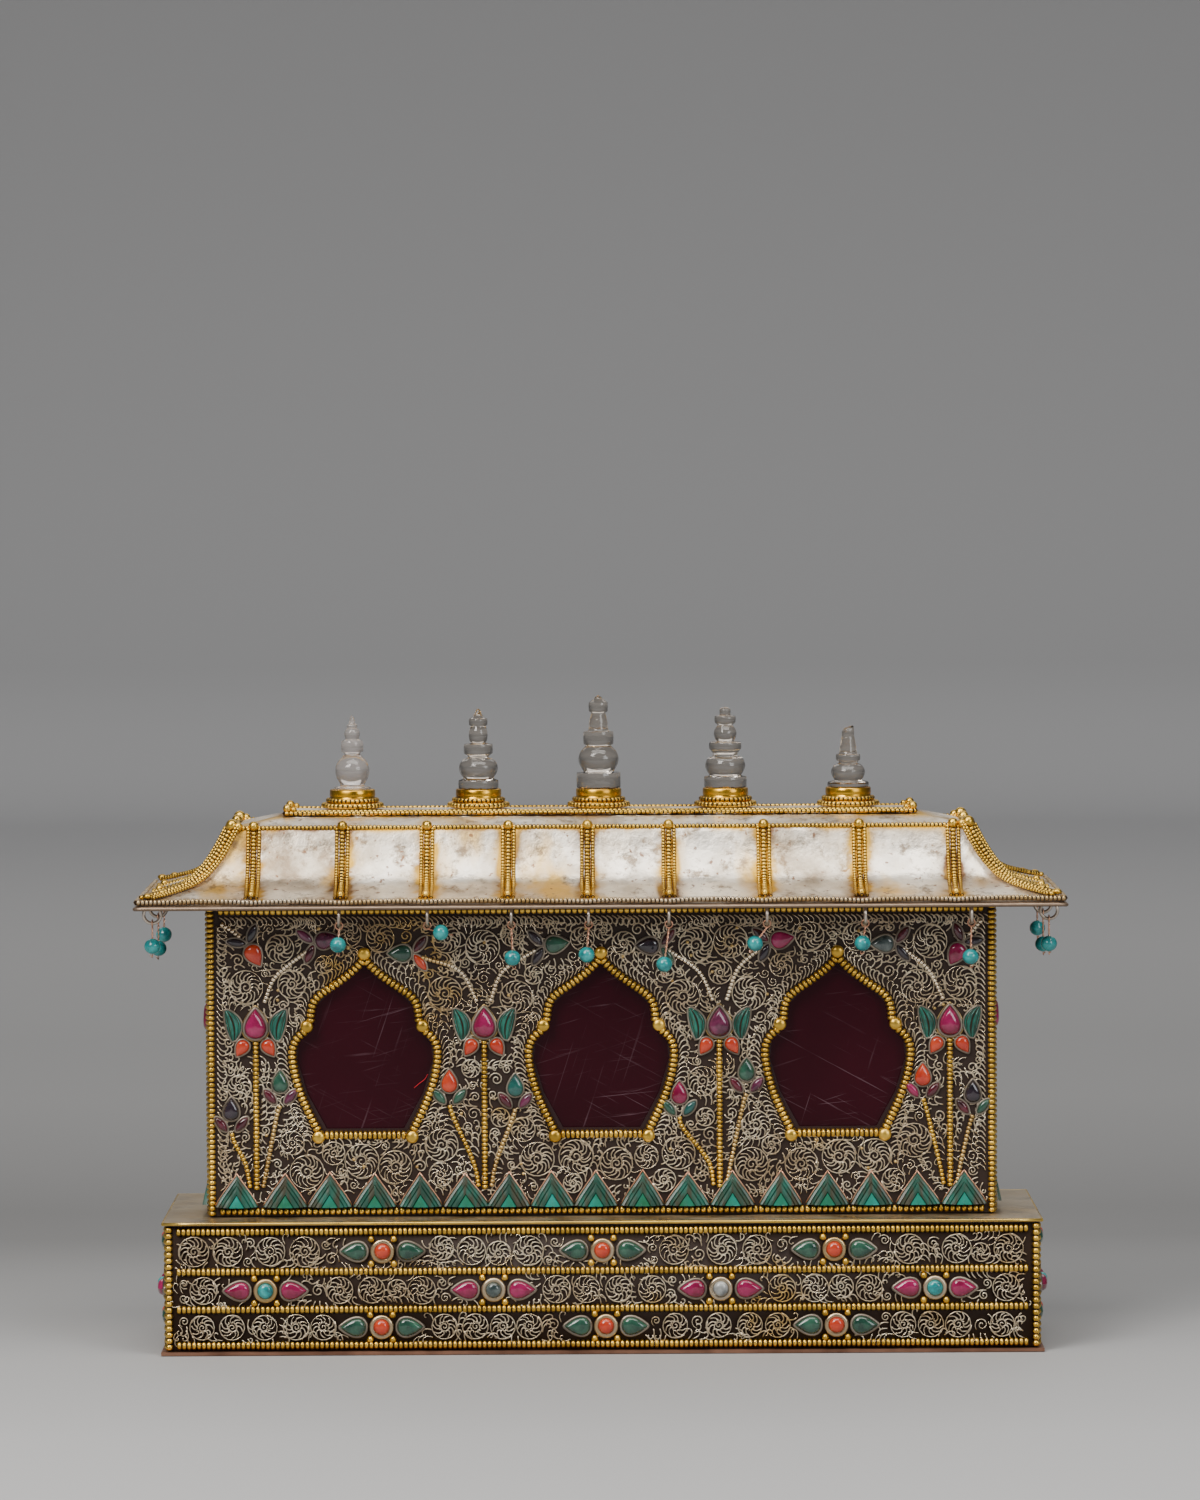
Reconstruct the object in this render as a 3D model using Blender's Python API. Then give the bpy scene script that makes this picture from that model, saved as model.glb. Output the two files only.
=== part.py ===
"""Solids of a filigree shrine box: plinth, body with three windows, flared roof and five crystal finials.

Metres, +Z up, front towards -Y, the underside on z = 0. Sizes below are in millimetres and become metres in
one place, the function that makes a mesh. Every panel is drawn in its own plane as (u, v, w): u to the right,
v up from the panel's foot, w outward.
"""

import math

import bpy
from mathutils import Matrix, Vector

MM = 0.001
GAP = 0.3  # clearance between separate pieces
SINK = 0.3  # how deep a soldered detail stands in the sheet that carries it

# Plinth
PLINTH_WIDTH = 264.0
PLINTH_DEPTH = 76.0
PLINTH_TOP = 40.0
BASE_THICK = 1.0
BASE_LIP = 0.6
CASE_WALL = 1.0
CASE_TOP = 1.0
SKIN = 0.8  # sheet of a relief panel
BAR_HEIGHT = 2.7
BAR_RISE = 1.3
COLUMN_WIDTH = 2.8

# Body
BODY_WIDTH = 239.0
BODY_DEPTH = 51.0
BODY_TOP = 134.0
WALL = 1.0
PANE_THICK = 1.5
PANE_MARGIN = 2.5
WINDOW_SPACING = 71.3
FRAME_WIDTH = 2.2
FRAME_RISE = 1.4

# Roof
OVERHANG = 20.0  # of the eave beyond the body, on every side
EAVE_WIDTH = BODY_WIDTH + 2 * OVERHANG
EAVE_DEPTH = BODY_DEPTH + 2 * OVERHANG
EAVE_LIP = 2.4
ROOF_SHEET = 1.0
SLOPE_TOP_WIDTH = 222.0
SLOPE_TOP_DEPTH = 44.0
SLOPE_TOP = 157.2
TIER_TOP_WIDTH = 195.0
TIER_TOP_DEPTH = 26.0
TIER_TOP = 160.2
DECK_WIDTH = 193.0
DECK_DEPTH = 24.0
DECK_THICK = 1.5
RIB_WIDTH = 2.6
RIB_RISE = 1.3
RIB_SINK = 0.45
RIB_SHIFT = 0.35  # how far a rib's bends lie outside the slope's own bends
BALL = 1.5  # radius of a solder ball

# Rings and pendants
RING_RADIUS = 2.6
RING_WIRE = 0.53
BEAD_RADIUS = 2.5
PENDANT_WIRE = 0.25
RING_SIDES = 6

# Finials
COLLAR_LOW_RADIUS = 9.6
COLLAR_MID_RADIUS = 8.2
COLLAR_RADIUS = 6.95
COLLAR_WALL = 0.9
COLLAR_STEP = 1.7
COLLAR_TOP = 5.9  # above the deck
COLLAR_FLOOR = 1.2
PLUG_DEPTH = 2.6

# The share of the way in from eave to slope top against the share of the way up
SLOPE = ((0.0, 0.0), (0.42, 0.14), (0.60, 0.23), (0.76, 0.44), (0.88, 0.68), (1.0, 1.0))

# Half of the window's outline from its foot to its apex, in millimetres from the panel's centre line and foot
WINDOW = ((13.6, 24.4), (19.4, 37.0), (22.3, 47.0), (21.6, 54.4), (17.2, 58.6), (16.6, 63.4), (12.6, 67.2),
          (5.4, 72.2), (0.0, 78.6))
NOTCH = WINDOW[4]

# Stones: half length, half width, rise
SHAPES = {"pear": (4.2, 3.1, 2.0), "marquise": (3.1, 1.6, 1.4), "round": (3.4, 3.4, 2.6),
          "leaf": (4.7, 2.3, 1.8), "big_pear": (5.1, 3.6, 3.2)}

STEMS = (-104.2, -35.3, 35.6, 105.1)
BACK_STEMS = (-WINDOW_SPACING, 0.0, WINDOW_SPACING)
STEM_FOOT = 14.5
STEM_WIDTH = 1.9
STEM_RISE = 1.2
LOTUS_FOOT = 52.8
# One lotus about its stem: shape, u, v, direction of the point in degrees
LOTUS = (("big_pear", 0.0, 58.6, 90), ("leaf", -7.0, 58.2, 108), ("leaf", 7.0, 58.2, 72),
         ("pear", -4.6, 50.6, 235), ("pear", 4.6, 50.6, 305))
BUDS = ((-111.7, 32.3), (-96.9, 40.7), (-45.9, 40.7), (-26.0, 39.2), (23.5, 36.8), (43.8, 43.8), (96.9, 42.0),
        (112.0, 36.8))
# The flower of three near each window's shoulders: where it sits and where its pear points
SPRAYS = ((-106.2, 82.0, 300), (-86.8, 82.6, 250), (-56.0, 79.6, 185), (-16.6, 80.8, 15), (17.6, 81.0, 150),
          (50.8, 82.6, 20), (88.4, 81.8, 170), (109.4, 81.6, 240))
# What a side panel has above and below its lotus
SIDE_STONES = (("pear", 0.0, 81.0, 90), ("marquise", -5.6, 77.6, 145), ("marquise", 5.6, 77.6, 35))
PETAL_PITCH = 13.6  # on the sides
PETALS = (-110.3, -95.6, -82.2, -68.6, -54.7, -41.0, -28.2, -14.9, -1.9, 12.2, 25.6, 39.4, 53.9, 68.0, 81.4,
          95.4, 109.3)
PETAL_FOOT = 2.6
PETAL_HEIGHT = 10.6
PETAL_WIDTH = 12.4
PETAL_RISE = 3.0
SIDE_PETALS = 3

PLINTH_ROWS = (1.5, 12.3, 23.7, 35.8)  # bead bars above the panel's foot
PLINTH_TRIPLETS = ((-66.0, 0.0, 69.6), (-101.2, -32.7, 35.5, 99.8), (-66.4, 1.0, 70.2))
BACK_TRIPLETS = ((0.0,), (-68.0, 68.0), (0.0,))
SIDE_TRIPLETS = ((0.0,), (-19.0, 19.0), (0.0,))
PEAR_OFFSET = 8.6

RIBS = (-104.4, -77.7, -52.2, -27.7, -3.9, 20.6, 49.2, 78.0, 106.3)
BACK_RIBS = (-90.0, -30.0, 30.0, 90.0)
SIDE_RIBS = (-11.5, 11.5)

# Pendants: ring's place along the eave, bead's shift along the eave, bead's height in the world
FRONT_PENDANTS = ((-78.2, -0.4, 123.6), (-51.8, 4.0, 127.2), (-26.7, 0.3, 119.4), (-3.6, -0.6, 120.3),
                  (20.4, -1.5, 117.3), (49.7, -3.6, 123.4), (79.1, -0.9, 123.3), (110.8, -0.3, 119.1))
BACK_PENDANTS = ((-90.0, 0.3, 120.8), (-30.0, -0.4, 122.6), (30.0, 0.5, 119.8), (90.0, 0.2, 123.0))
SIDE_PENDANTS = ((-27.0, 0.3, 121.8), (0.0, -0.2, 119.6), (27.0, 0.2, 122.4))
PENDANTS = {"front": FRONT_PENDANTS, "back": BACK_PENDANTS, "left": SIDE_PENDANTS, "right": SIDE_PENDANTS}

FINIALS = (-75.4, -37.0, -0.4, 38.2, 75.6)
# Crystal profiles from the tip down: height above the deck and radius
CRYSTALS = (
    ((28.4, 0.5), (26.4, 1.5), (22.8, 2.1), (20.9, 2.1), (20.4, 3.4), (17.4, 3.4), (16.5, 2.5), (13.4, 4.9),
     (11.0, 5.2), (7.6, 4.0), (6.9, 5.7)),
    ((30.3, 0.5), (27.7, 1.8), (27.0, 2.8), (25.3, 2.8), (24.7, 2.2), (22.2, 2.9), (20.0, 2.3), (19.5, 4.4),
     (16.4, 4.4), (15.5, 3.1), (13.8, 5.6), (11.6, 5.9), (9.2, 4.6), (8.6, 6.1)),
    ((34.3, 0.5), (32.6, 1.8), (32.0, 2.9), (29.2, 2.9), (28.6, 2.2), (23.6, 3.1), (23.1, 4.6), (19.4, 4.6),
     (18.7, 4.0), (16.4, 5.9), (14.4, 6.1), (11.2, 4.6), (10.6, 6.7)),
    ((30.5, 0.9), (29.4, 1.7), (28.0, 1.7), (27.7, 3.2), (25.6, 3.2), (24.8, 2.4), (22.2, 3.5), (20.3, 2.8),
     (19.8, 4.9), (17.4, 4.9), (15.6, 3.8), (14.0, 5.9), (12.2, 6.1), (9.8, 4.8), (9.2, 6.5)),
    ((24.2, 1.2), (23.6, 1.8), (21.3, 1.9), (16.4, 2.7), (15.9, 3.7), (14.0, 3.7), (13.2, 2.9), (12.0, 4.8),
     (10.2, 5.2), (8.0, 4.3), (7.5, 6.3)),
)
CRYSTAL_SIDES = 8
COLLAR_SIDES = 8

# Sizes that follow from the ones above
PLINTH_SKIN_W = PLINTH_WIDTH / 2 - BAR_RISE - SKIN
PLINTH_SKIN_D = PLINTH_DEPTH / 2 - BAR_RISE - SKIN
CASE_W = PLINTH_SKIN_W - GAP
CASE_D = PLINTH_SKIN_D - GAP
PLINTH_FOOT = BASE_THICK + GAP
SKIN_TOP = PLINTH_TOP - CASE_TOP - GAP
BODY_FOOT = PLINTH_TOP + GAP
BODY_SKIN_W = BODY_WIDTH / 2 - BAR_RISE - SKIN
BODY_SKIN_D = BODY_DEPTH / 2 - BAR_RISE - SKIN
WALL_W = BODY_SKIN_W - GAP
WALL_D = BODY_SKIN_D - GAP
BODY_HEIGHT = BODY_TOP - BODY_FOOT
EAVE_BOTTOM = BODY_TOP + GAP
DECK_FOOT = TIER_TOP + GAP
DECK_TOP = DECK_FOOT + DECK_THICK
RING_CENTRE = EAVE_BOTTOM - RING_RADIUS + RING_WIRE * 0.4
RING_INSET = 2.0


def clear_scene():
    for thing in list(bpy.data.objects):
        bpy.data.objects.remove(thing, do_unlink=True)
    for group in list(bpy.data.collections):
        bpy.data.collections.remove(group)


clear_scene()
SOLIDS = bpy.data.collections.new("shrine_box")
CUTTERS = bpy.data.collections.new("cutters")
for group in (SOLIDS, CUTTERS):
    bpy.context.scene.collection.children.link(group)


def material(name, colour, metallic, roughness):
    made = bpy.data.materials.new(name)
    made.use_nodes = True
    shader = made.node_tree.nodes["Principled BSDF"]
    shader.inputs["Base Color"].default_value = (*colour, 1.0)
    shader.inputs["Metallic"].default_value = metallic
    shader.inputs["Roughness"].default_value = roughness
    return made


GILT = (0.62, 0.42, 0.13)
SILVER = (0.62, 0.60, 0.57)
COPPER = (0.58, 0.30, 0.19)
MAROON = (0.10, 0.01, 0.02)
CRYSTAL = (0.80, 0.80, 0.80)
TURQUOISE = (0.05, 0.48, 0.48)


class Shell:
    """Closed bodies collected into one mesh, in millimetres."""

    def __init__(self):
        self.points = []
        self.faces = []

    def loft(self, rings, place=None, loop=False):
        """Join rings of equal count; each ring runs anticlockwise as seen from the last ring's side."""
        start = len(self.points)
        count = len(rings[0])
        for ring in rings:
            for point in ring:
                spot = Vector(point)
                self.points.append(place @ spot if place else spot)
        turns = len(rings) if loop else len(rings) - 1
        for row in range(turns):
            low = start + row * count
            high = start + ((row + 1) % len(rings)) * count
            for step in range(count):
                after = (step + 1) % count
                self.faces.append((low + step, low + after, high + after, high + step))
        if not loop:
            self.faces.append(tuple(start + step for step in reversed(range(count))))
            self.faces.append(tuple(start + (len(rings) - 1) * count + step for step in range(count)))

    def box(self, low, high, place=None):
        corners = ((low[0], low[1]), (high[0], low[1]), (high[0], high[1]), (low[0], high[1]))
        self.loft([[(x, y, z) for x, y in corners] for z in (low[2], high[2])], place)

    def ball(self, centre, radius, place=None, sides=5):
        rings = []
        for height, width in ((-0.65, 0.8), (0.65, 0.8)):
            rings.append([(centre[0] + radius * width * math.cos(math.tau * k / sides),
                           centre[1] + radius * width * math.sin(math.tau * k / sides),
                           centre[2] + radius * height) for k in range(sides)])
        self.loft(rings, place)


def new_object(name, shell, group, look=None):
    mesh = bpy.data.meshes.new(name)
    mesh.from_pydata([point * MM for point in shell.points], [], shell.faces)
    mesh.update()
    made = bpy.data.objects.new(name, mesh)
    group.objects.link(made)
    if look:
        mesh.materials.append(material(name + "_look", *look))
    else:
        made.hide_render = True
        made.display_type = "WIRE"
    return made


def combine(target, cutter, operation):
    step = target.modifiers.new(cutter.name, "BOOLEAN")
    step.operation = operation
    step.solver = "EXACT"
    step.use_self = True
    step.object = cutter


def circle(radius, z, sides, centre=(0.0, 0.0)):
    return [(centre[0] + radius * math.cos(math.tau * (k + 0.5) / sides),
             centre[1] + radius * math.sin(math.tau * (k + 0.5) / sides), z) for k in range(sides)]


def rectangle(half_w, half_d, z):
    return [(-half_w, -half_d, z), (half_w, -half_d, z), (half_w, half_d, z), (-half_w, half_d, z)]


def panel_place(side, offset, foot):
    """Matrix that carries (u, v, w) to the world for a panel that faces front, right, back or left."""
    turn = {"front": 0, "right": 90, "back": 180, "left": 270}[side]
    basis = Matrix(((1, 0, 0, 0), (0, 0, -1, -offset), (0, 1, 0, foot), (0, 0, 0, 1)))
    return Matrix.Rotation(math.radians(turn), 4, "Z") @ basis


def arch(width, rise, sink):
    return ((-width / 2, -sink), (width / 2, -sink), (width * 0.3, rise), (-width * 0.3, rise))


def bar(shell, start, end, width, rise, place, sink=SINK):
    """A wire soldered along a straight line in the panel's plane."""
    along = Vector((end[0] - start[0], end[1] - start[1]))
    length = along.length
    across = Vector((along.y, -along.x)) / length
    rings = []
    for point in (start, end):
        rings.append([(point[0] - across.x * a, point[1] - across.y * a, w) for a, w in arch(width, rise, sink)])
    shell.loft(rings, place)


def frame_loop(shell, outline, width, rise, place, sink=SINK):
    """A wire round a closed outline, its outer edge on the outline."""
    count = len(outline)
    rings = []
    for index, point in enumerate(outline):
        before = Vector(outline[index - 1])
        here = Vector(point)
        after = Vector(outline[(index + 1) % count])
        first = (here - before).normalized()
        second = (after - here).normalized()
        normal = Vector((-(first.y + second.y), first.x + second.x)).normalized()
        stretch = 1.0 / max(0.6, normal.dot(Vector((-first.y, first.x))))
        rings.append([(here.x + normal.x * a * stretch, here.y + normal.y * a * stretch, w)
                      for a, w in ((width, -sink), (width * 0.5, rise), (0.0, -sink))])
    shell.loft(rings, place, loop=True)


def window_outline(centre, shrink=0.0):
    right = [(u - shrink if u > shrink else 0.0, v) for u, v in WINDOW]
    low = right[0][1] + shrink
    right = [(u, max(v, low)) for u, v in right]
    right[-1] = (0.0, WINDOW[-1][1] - shrink * 1.5)
    left = [(-u, v) for u, v in reversed(right[:-1])]
    return [(centre + u, v) for u, v in right + left]


def stone_outline(shape):
    """Four to six points round a stone, its point towards +x."""
    half_l, half_w, _ = SHAPES[shape]
    if shape == "round":
        return [(half_l * math.cos(math.tau * k / 6), half_w * math.sin(math.tau * k / 6)) for k in range(6)]
    if shape == "marquise":
        outline = ((1.0, 0.0), (0.0, 1.0), (-1.0, 0.0), (0.0, -1.0))
    else:
        outline = ((1.0, 0.0), (0.05, 0.95), (-0.92, 0.6), (-0.92, -0.6), (0.05, -0.95))
    return [(half_l * a, half_w * b) for a, b in outline]


def stone(shell, shape, u, v, degrees, place, foot=0.0):
    """A cabochon in its bezel, as a low faceted mound."""
    turn = math.radians(degrees)
    rise = SHAPES[shape][2]
    outline = stone_outline(shape)
    rings = []
    for size, w in ((1.0, -SINK), (0.78, rise)):
        rings.append([(u + size * (a * math.cos(turn) - b * math.sin(turn)),
                       v + size * (a * math.sin(turn) + b * math.cos(turn)), foot + w) for a, b in outline])
    shell.loft(rings, place)


def petal(shell, u, place):
    """A wedge of turquoise: a triangle that stands out at its foot."""
    foot = PETAL_FOOT
    half = PETAL_WIDTH / 2
    top = foot + PETAL_HEIGHT
    back = [(u - half, foot, -SINK), (u + half, foot, -SINK), (u, top, -SINK)]
    front = [(u - half, foot, PETAL_RISE), (u + half, foot, PETAL_RISE), (u, top - 0.6, 0.5)]
    shell.loft([back, front], place)


def lotus(shell, stem, place):
    """A stem that carries a flower of five stones."""
    bar(shell, (stem, STEM_FOOT), (stem, LOTUS_FOOT), STEM_WIDTH, STEM_RISE, place)
    for shape, u, v, degrees in LOTUS:
        stone(shell, shape, stem + u, v, degrees, place)


def triplet(shell, u, v, place):
    stone(shell, "round", u, v, 0, place)
    stone(shell, "pear", u - PEAR_OFFSET, v, 180, place)
    stone(shell, "pear", u + PEAR_OFFSET, v, 0, place)


def skin_panel(name, side, half_span, offset, foot, top, look):
    """The sheet of a relief panel; returns its object and the matrix of its outer face."""
    shell = Shell()
    place = panel_place(side, offset, foot)
    shell.box((-half_span, 0.0, 0.0), (half_span, top - foot, SKIN), place)
    made = new_object(name, shell, SOLIDS, look)
    return made, panel_place(side, offset + SKIN, foot)


def build_base():
    shell = Shell()
    half_w = PLINTH_WIDTH / 2 + BASE_LIP
    half_d = PLINTH_DEPTH / 2 + BASE_LIP
    shell.loft([rectangle(half_w, half_d, 0.0), rectangle(half_w, half_d, BASE_THICK)])
    new_object("base_plate", shell, SOLIDS, (COPPER, 1.0, 0.35))


def build_case():
    """A tray upside down: four walls and the top sheet, whose edge covers the relief panels."""
    edge_w = PLINTH_WIDTH / 2 - 0.3
    edge_d = PLINTH_DEPTH / 2 - 0.3
    lid = PLINTH_TOP - CASE_TOP
    rings = [rectangle(CASE_W - CASE_WALL, CASE_D - CASE_WALL, lid),
             rectangle(CASE_W - CASE_WALL, CASE_D - CASE_WALL, PLINTH_FOOT),
             rectangle(CASE_W, CASE_D, PLINTH_FOOT), rectangle(CASE_W, CASE_D, lid),
             rectangle(edge_w, edge_d, lid), rectangle(edge_w, edge_d, PLINTH_TOP)]
    shell = Shell()
    shell.loft(rings)
    new_object("plinth_case", shell, SOLIDS, (SILVER, 1.0, 0.4))


def build_plinth_panel(side):
    wide = side in ("front", "back")
    offset = CASE_D + GAP if wide else CASE_W + GAP
    full = PLINTH_WIDTH / 2 if wide else PLINTH_SKIN_D - GAP
    half = PLINTH_SKIN_W + SKIN if wide else full
    made, place = skin_panel("plinth_" + side + "_panel", side, half, offset, PLINTH_FOOT, SKIN_TOP,
                             (SILVER, 1.0, 0.45))
    relief = Shell()
    inner = half - COLUMN_WIDTH
    for row in PLINTH_ROWS:
        bar(relief, (-inner - 0.4, row), (inner + 0.4, row), BAR_HEIGHT, BAR_RISE, place)
    for end in (-1, 1):
        u = end * (half - COLUMN_WIDTH / 2)
        bar(relief, (u, 0.15), (u, SKIN_TOP - PLINTH_FOOT - 0.15), COLUMN_WIDTH - 0.2, BAR_RISE - 0.15, place)
    layout = {"front": PLINTH_TRIPLETS, "back": BACK_TRIPLETS}.get(side, SIDE_TRIPLETS)
    bands = [(low + high) / 2 for low, high in zip(PLINTH_ROWS, PLINTH_ROWS[1:])]
    for v, places in zip(reversed(bands), layout):
        for u in places:
            triplet(relief, u, v, place)
    combine(made, new_object(made.name + "_relief", relief, CUTTERS), "UNION")


def build_walls():
    """The body's tube of sheet, open above and below, and its three window openings."""
    rings = [rectangle(WALL_W, WALL_D, BODY_FOOT), rectangle(WALL_W, WALL_D, BODY_TOP),
             rectangle(WALL_W - WALL, WALL_D - WALL, BODY_TOP), rectangle(WALL_W - WALL, WALL_D - WALL, BODY_FOOT)]
    shell = Shell()
    shell.loft(rings, loop=True)
    walls = new_object("shrine_walls", shell, SOLIDS, (SILVER, 1.0, 0.45))
    combine(walls, window_cutter(), "DIFFERENCE")
    return walls


WINDOW_CUTTER = []


def window_cutter():
    if not WINDOW_CUTTER:
        shell = Shell()
        place = panel_place("front", 0.0, BODY_FOOT)
        depths = (WALL_D - WALL - 1.0, BODY_SKIN_D + SKIN + 1.0)
        for index in (-1, 0, 1):
            outline = window_outline(index * WINDOW_SPACING, FRAME_WIDTH - 0.3)
            shell.loft([[(u, v, w) for u, v in outline] for w in depths], place)
        WINDOW_CUTTER.append(new_object("window_opening", shell, CUTTERS))
    return WINDOW_CUTTER[0]


def build_front_panel():
    half = BODY_SKIN_W + SKIN
    height = BODY_HEIGHT
    made, place = skin_panel("front_panel", "front", half, BODY_SKIN_D, BODY_FOOT, BODY_TOP, (SILVER, 1.0, 0.45))
    combine(made, window_cutter(), "DIFFERENCE")
    relief = Shell()
    border(relief, half, height, place)
    for index in (-1, 0, 1):
        centre = index * WINDOW_SPACING
        frame_loop(relief, window_outline(centre), FRAME_WIDTH, FRAME_RISE, place)
        for u, v in ((0.0, WINDOW[-1][1] + 0.6), (NOTCH[0] + 0.4, NOTCH[1] + 0.6),
                     (-NOTCH[0] - 0.4, NOTCH[1] + 0.6), (WINDOW[0][0] + 0.6, WINDOW[0][1] + 0.3),
                     (-WINDOW[0][0] - 0.6, WINDOW[0][1] + 0.3)):
            relief.ball((centre + u, v, 0.9), BALL, place)
    for stem in STEMS:
        lotus(relief, stem, place)
    for index, (u, v) in enumerate(BUDS):
        stem = STEMS[index // 2]
        lean = math.degrees(math.atan2(v - STEM_FOOT, u - stem))
        stone(relief, "pear", u, v, 0.5 * (lean + 90), place)
    for u, v, degrees in SPRAYS:
        turn = math.radians(degrees)
        stone(relief, "pear", u + 3.9 * math.cos(turn), v + 3.9 * math.sin(turn), degrees, place)
        for side in (-1, 1):
            other = turn + side * math.radians(128)
            stone(relief, "marquise", u + 3.3 * math.cos(other), v + 3.3 * math.sin(other), math.degrees(other), place)
    for u in PETALS:
        petal(relief, u, place)
    combine(made, new_object("front_panel_relief", relief, CUTTERS), "UNION")


def border(relief, half, height, place):
    """Beaded bars round a body panel."""
    inner = half - COLUMN_WIDTH
    for v in (BAR_HEIGHT / 2 + 0.1, height - BAR_HEIGHT / 2 - 0.1):
        bar(relief, (-inner - 0.4, v), (inner + 0.4, v), BAR_HEIGHT - 0.2, BAR_RISE, place)
    for end in (-1, 1):
        u = end * (half - COLUMN_WIDTH / 2)
        bar(relief, (u, 0.15), (u, height - 0.15), COLUMN_WIDTH - 0.2, BAR_RISE - 0.15, place)


def build_plain_panel(side):
    """Back and side panels: border, petals and a few stones."""
    wide = side == "back"
    half = BODY_SKIN_W + SKIN if wide else BODY_SKIN_D - GAP
    offset = BODY_SKIN_D if wide else BODY_SKIN_W
    made, place = skin_panel(side + "_panel", side, half, offset, BODY_FOOT, BODY_TOP, (SILVER, 1.0, 0.45))
    relief = Shell()
    border(relief, half, BODY_HEIGHT, place)
    if wide:
        for u in PETALS:
            petal(relief, u, place)
        for stem in BACK_STEMS:
            lotus(relief, stem, place)
    else:
        for index in range(SIDE_PETALS):
            petal(relief, (index - (SIDE_PETALS - 1) / 2) * PETAL_PITCH, place)
        lotus(relief, 0.0, place)
        for shape, u, v, degrees in SIDE_STONES:
            stone(relief, shape, u, v, degrees, place)
    combine(made, new_object(made.name + "_relief", relief, CUTTERS), "UNION")


def build_panes():
    low = WINDOW[0][1] - PANE_MARGIN
    high = WINDOW[-1][1] + PANE_MARGIN
    half = max(u for u, _ in WINDOW) + PANE_MARGIN
    face = WALL_D - WALL - GAP
    for number in (1, 2, 3):
        shell = Shell()
        centre = (number - 2) * WINDOW_SPACING
        shell.box((centre - half, low, face - PANE_THICK), (centre + half, high, face),
                  panel_place("front", 0.0, BODY_FOOT))
        new_object("window_pane_" + str(number), shell, SOLIDS, (MAROON, 0.0, 0.15))


def slope_point(share):
    """Half width, half depth and height of the roof's outer skin at a share of the way in."""
    inward, upward = share
    half_w = EAVE_WIDTH / 2 + (SLOPE_TOP_WIDTH - EAVE_WIDTH) / 2 * inward
    half_d = EAVE_DEPTH / 2 + (SLOPE_TOP_DEPTH - EAVE_DEPTH) / 2 * inward
    lip_top = EAVE_BOTTOM + EAVE_LIP
    return half_w, half_d, lip_top + (SLOPE_TOP - lip_top) * upward


def build_roof():
    """One sheet: soffit that rests over the walls, eave lip, concave slope, small upper tier and flat top."""
    outer = [slope_point(share) for share in SLOPE]
    outer.append((TIER_TOP_WIDTH / 2, TIER_TOP_DEPTH / 2, TIER_TOP))
    lip_w = EAVE_WIDTH / 2
    lip_d = EAVE_DEPTH / 2
    below = (lip_w, lip_d, EAVE_BOTTOM)
    flange = (WALL_W - WALL, WALL_D - WALL)
    sheet = ROOF_SHEET
    inner = [(lip_w - sheet, lip_d - sheet, EAVE_BOTTOM + sheet), (lip_w - sheet, lip_d - sheet, outer[0][2] - 0.4)]
    for (half_w, half_d, z), (_, upward) in zip(outer[1:-1], SLOPE[1:]):
        lean = 0.3 + 0.6 * upward
        inner.append((half_w - sheet * lean, half_d - sheet * lean, z - sheet * (1.25 - 0.25 * upward)))
    inner.append((outer[-1][0] - 2.0, outer[-1][1] - 2.0, TIER_TOP - sheet))
    rings = [rectangle(*spot) for spot in reversed(inner)]
    rings.append(rectangle(flange[0], flange[1], EAVE_BOTTOM + sheet))
    rings.append(rectangle(flange[0], flange[1], EAVE_BOTTOM))
    rings.append(rectangle(*below))
    rings += [rectangle(*spot) for spot in outer]
    shell = Shell()
    shell.loft(rings)
    roof = new_object("roof_shell", shell, SOLIDS, (SILVER, 1.0, 0.3))
    relief = Shell()
    for side, places in (("front", RIBS), ("back", BACK_RIBS), ("left", SIDE_RIBS), ("right", SIDE_RIBS)):
        for u in places:
            rib(relief, side, u)
    for end_w in (-1, 1):
        for end_d in (-1, 1):
            hip(relief, end_w, end_d)
    for side, u in ring_places():
        eave_ring(relief, side, u)
    combine(roof, new_object("roof_relief", relief, CUTTERS), "UNION")


def rib(relief, side, u):
    """A wire up the slope, from the eave to a ball at its head."""
    axis = 1 if side in ("front", "back") else 0
    place = panel_place(side, 0.0, 0.0)
    half = RIB_WIDTH / 2
    rings = []
    spots = [slope_point(share) for share in SLOPE]
    for index, spot in enumerate(spots):
        before = spots[max(index - 1, 0)]
        after = spots[min(index + 1, len(spots) - 1)]
        run = Vector((before[axis] - after[axis], after[2] - before[2])).normalized()
        w = spot[axis] + (RIB_SHIFT if index else -0.6)
        z = spot[2]
        up = RIB_RISE
        out = (w + run.y * up, z + run.x * up)
        low = (w - run.y * RIB_SINK, z - run.x * RIB_SINK)
        rings.append([(u - half, low[1], low[0]), (u, out[1], out[0]), (u + half, low[1], low[0])])
    relief.loft(rings, place)
    head = spots[-1]
    relief.ball((u, head[2] + 0.6, head[axis] + 0.3), BALL, place)


def hip(relief, end_w, end_d):
    """The same wire along the edge where two slopes meet."""
    spots = [slope_point(share) for share in SLOPE]
    diagonal = Vector((end_w, end_d, 0.0)).normalized()
    across = Vector((-diagonal.y, diagonal.x, 0.0)) * RIB_WIDTH * 0.5
    rings = []
    for index, (half_w, half_d, z) in enumerate(spots):
        centre = Vector((half_w * end_w, half_d * end_d, z))
        if index == 0:
            centre -= diagonal * 0.9
        up = Vector((0.0, 0.0, RIB_RISE * 0.9)) + diagonal * 0.3
        down = Vector((0.0, 0.0, -SINK)) - diagonal * 0.6
        rings.append([centre - across + down, centre + up, centre + across + down])
    relief.loft(rings)
    for spot, radius in ((spots[-1], BALL * 1.4), (spots[1], BALL * 1.2)):
        relief.ball((spot[0] * end_w, spot[1] * end_d, spot[2] + radius * 0.65 - SINK), radius)


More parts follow.
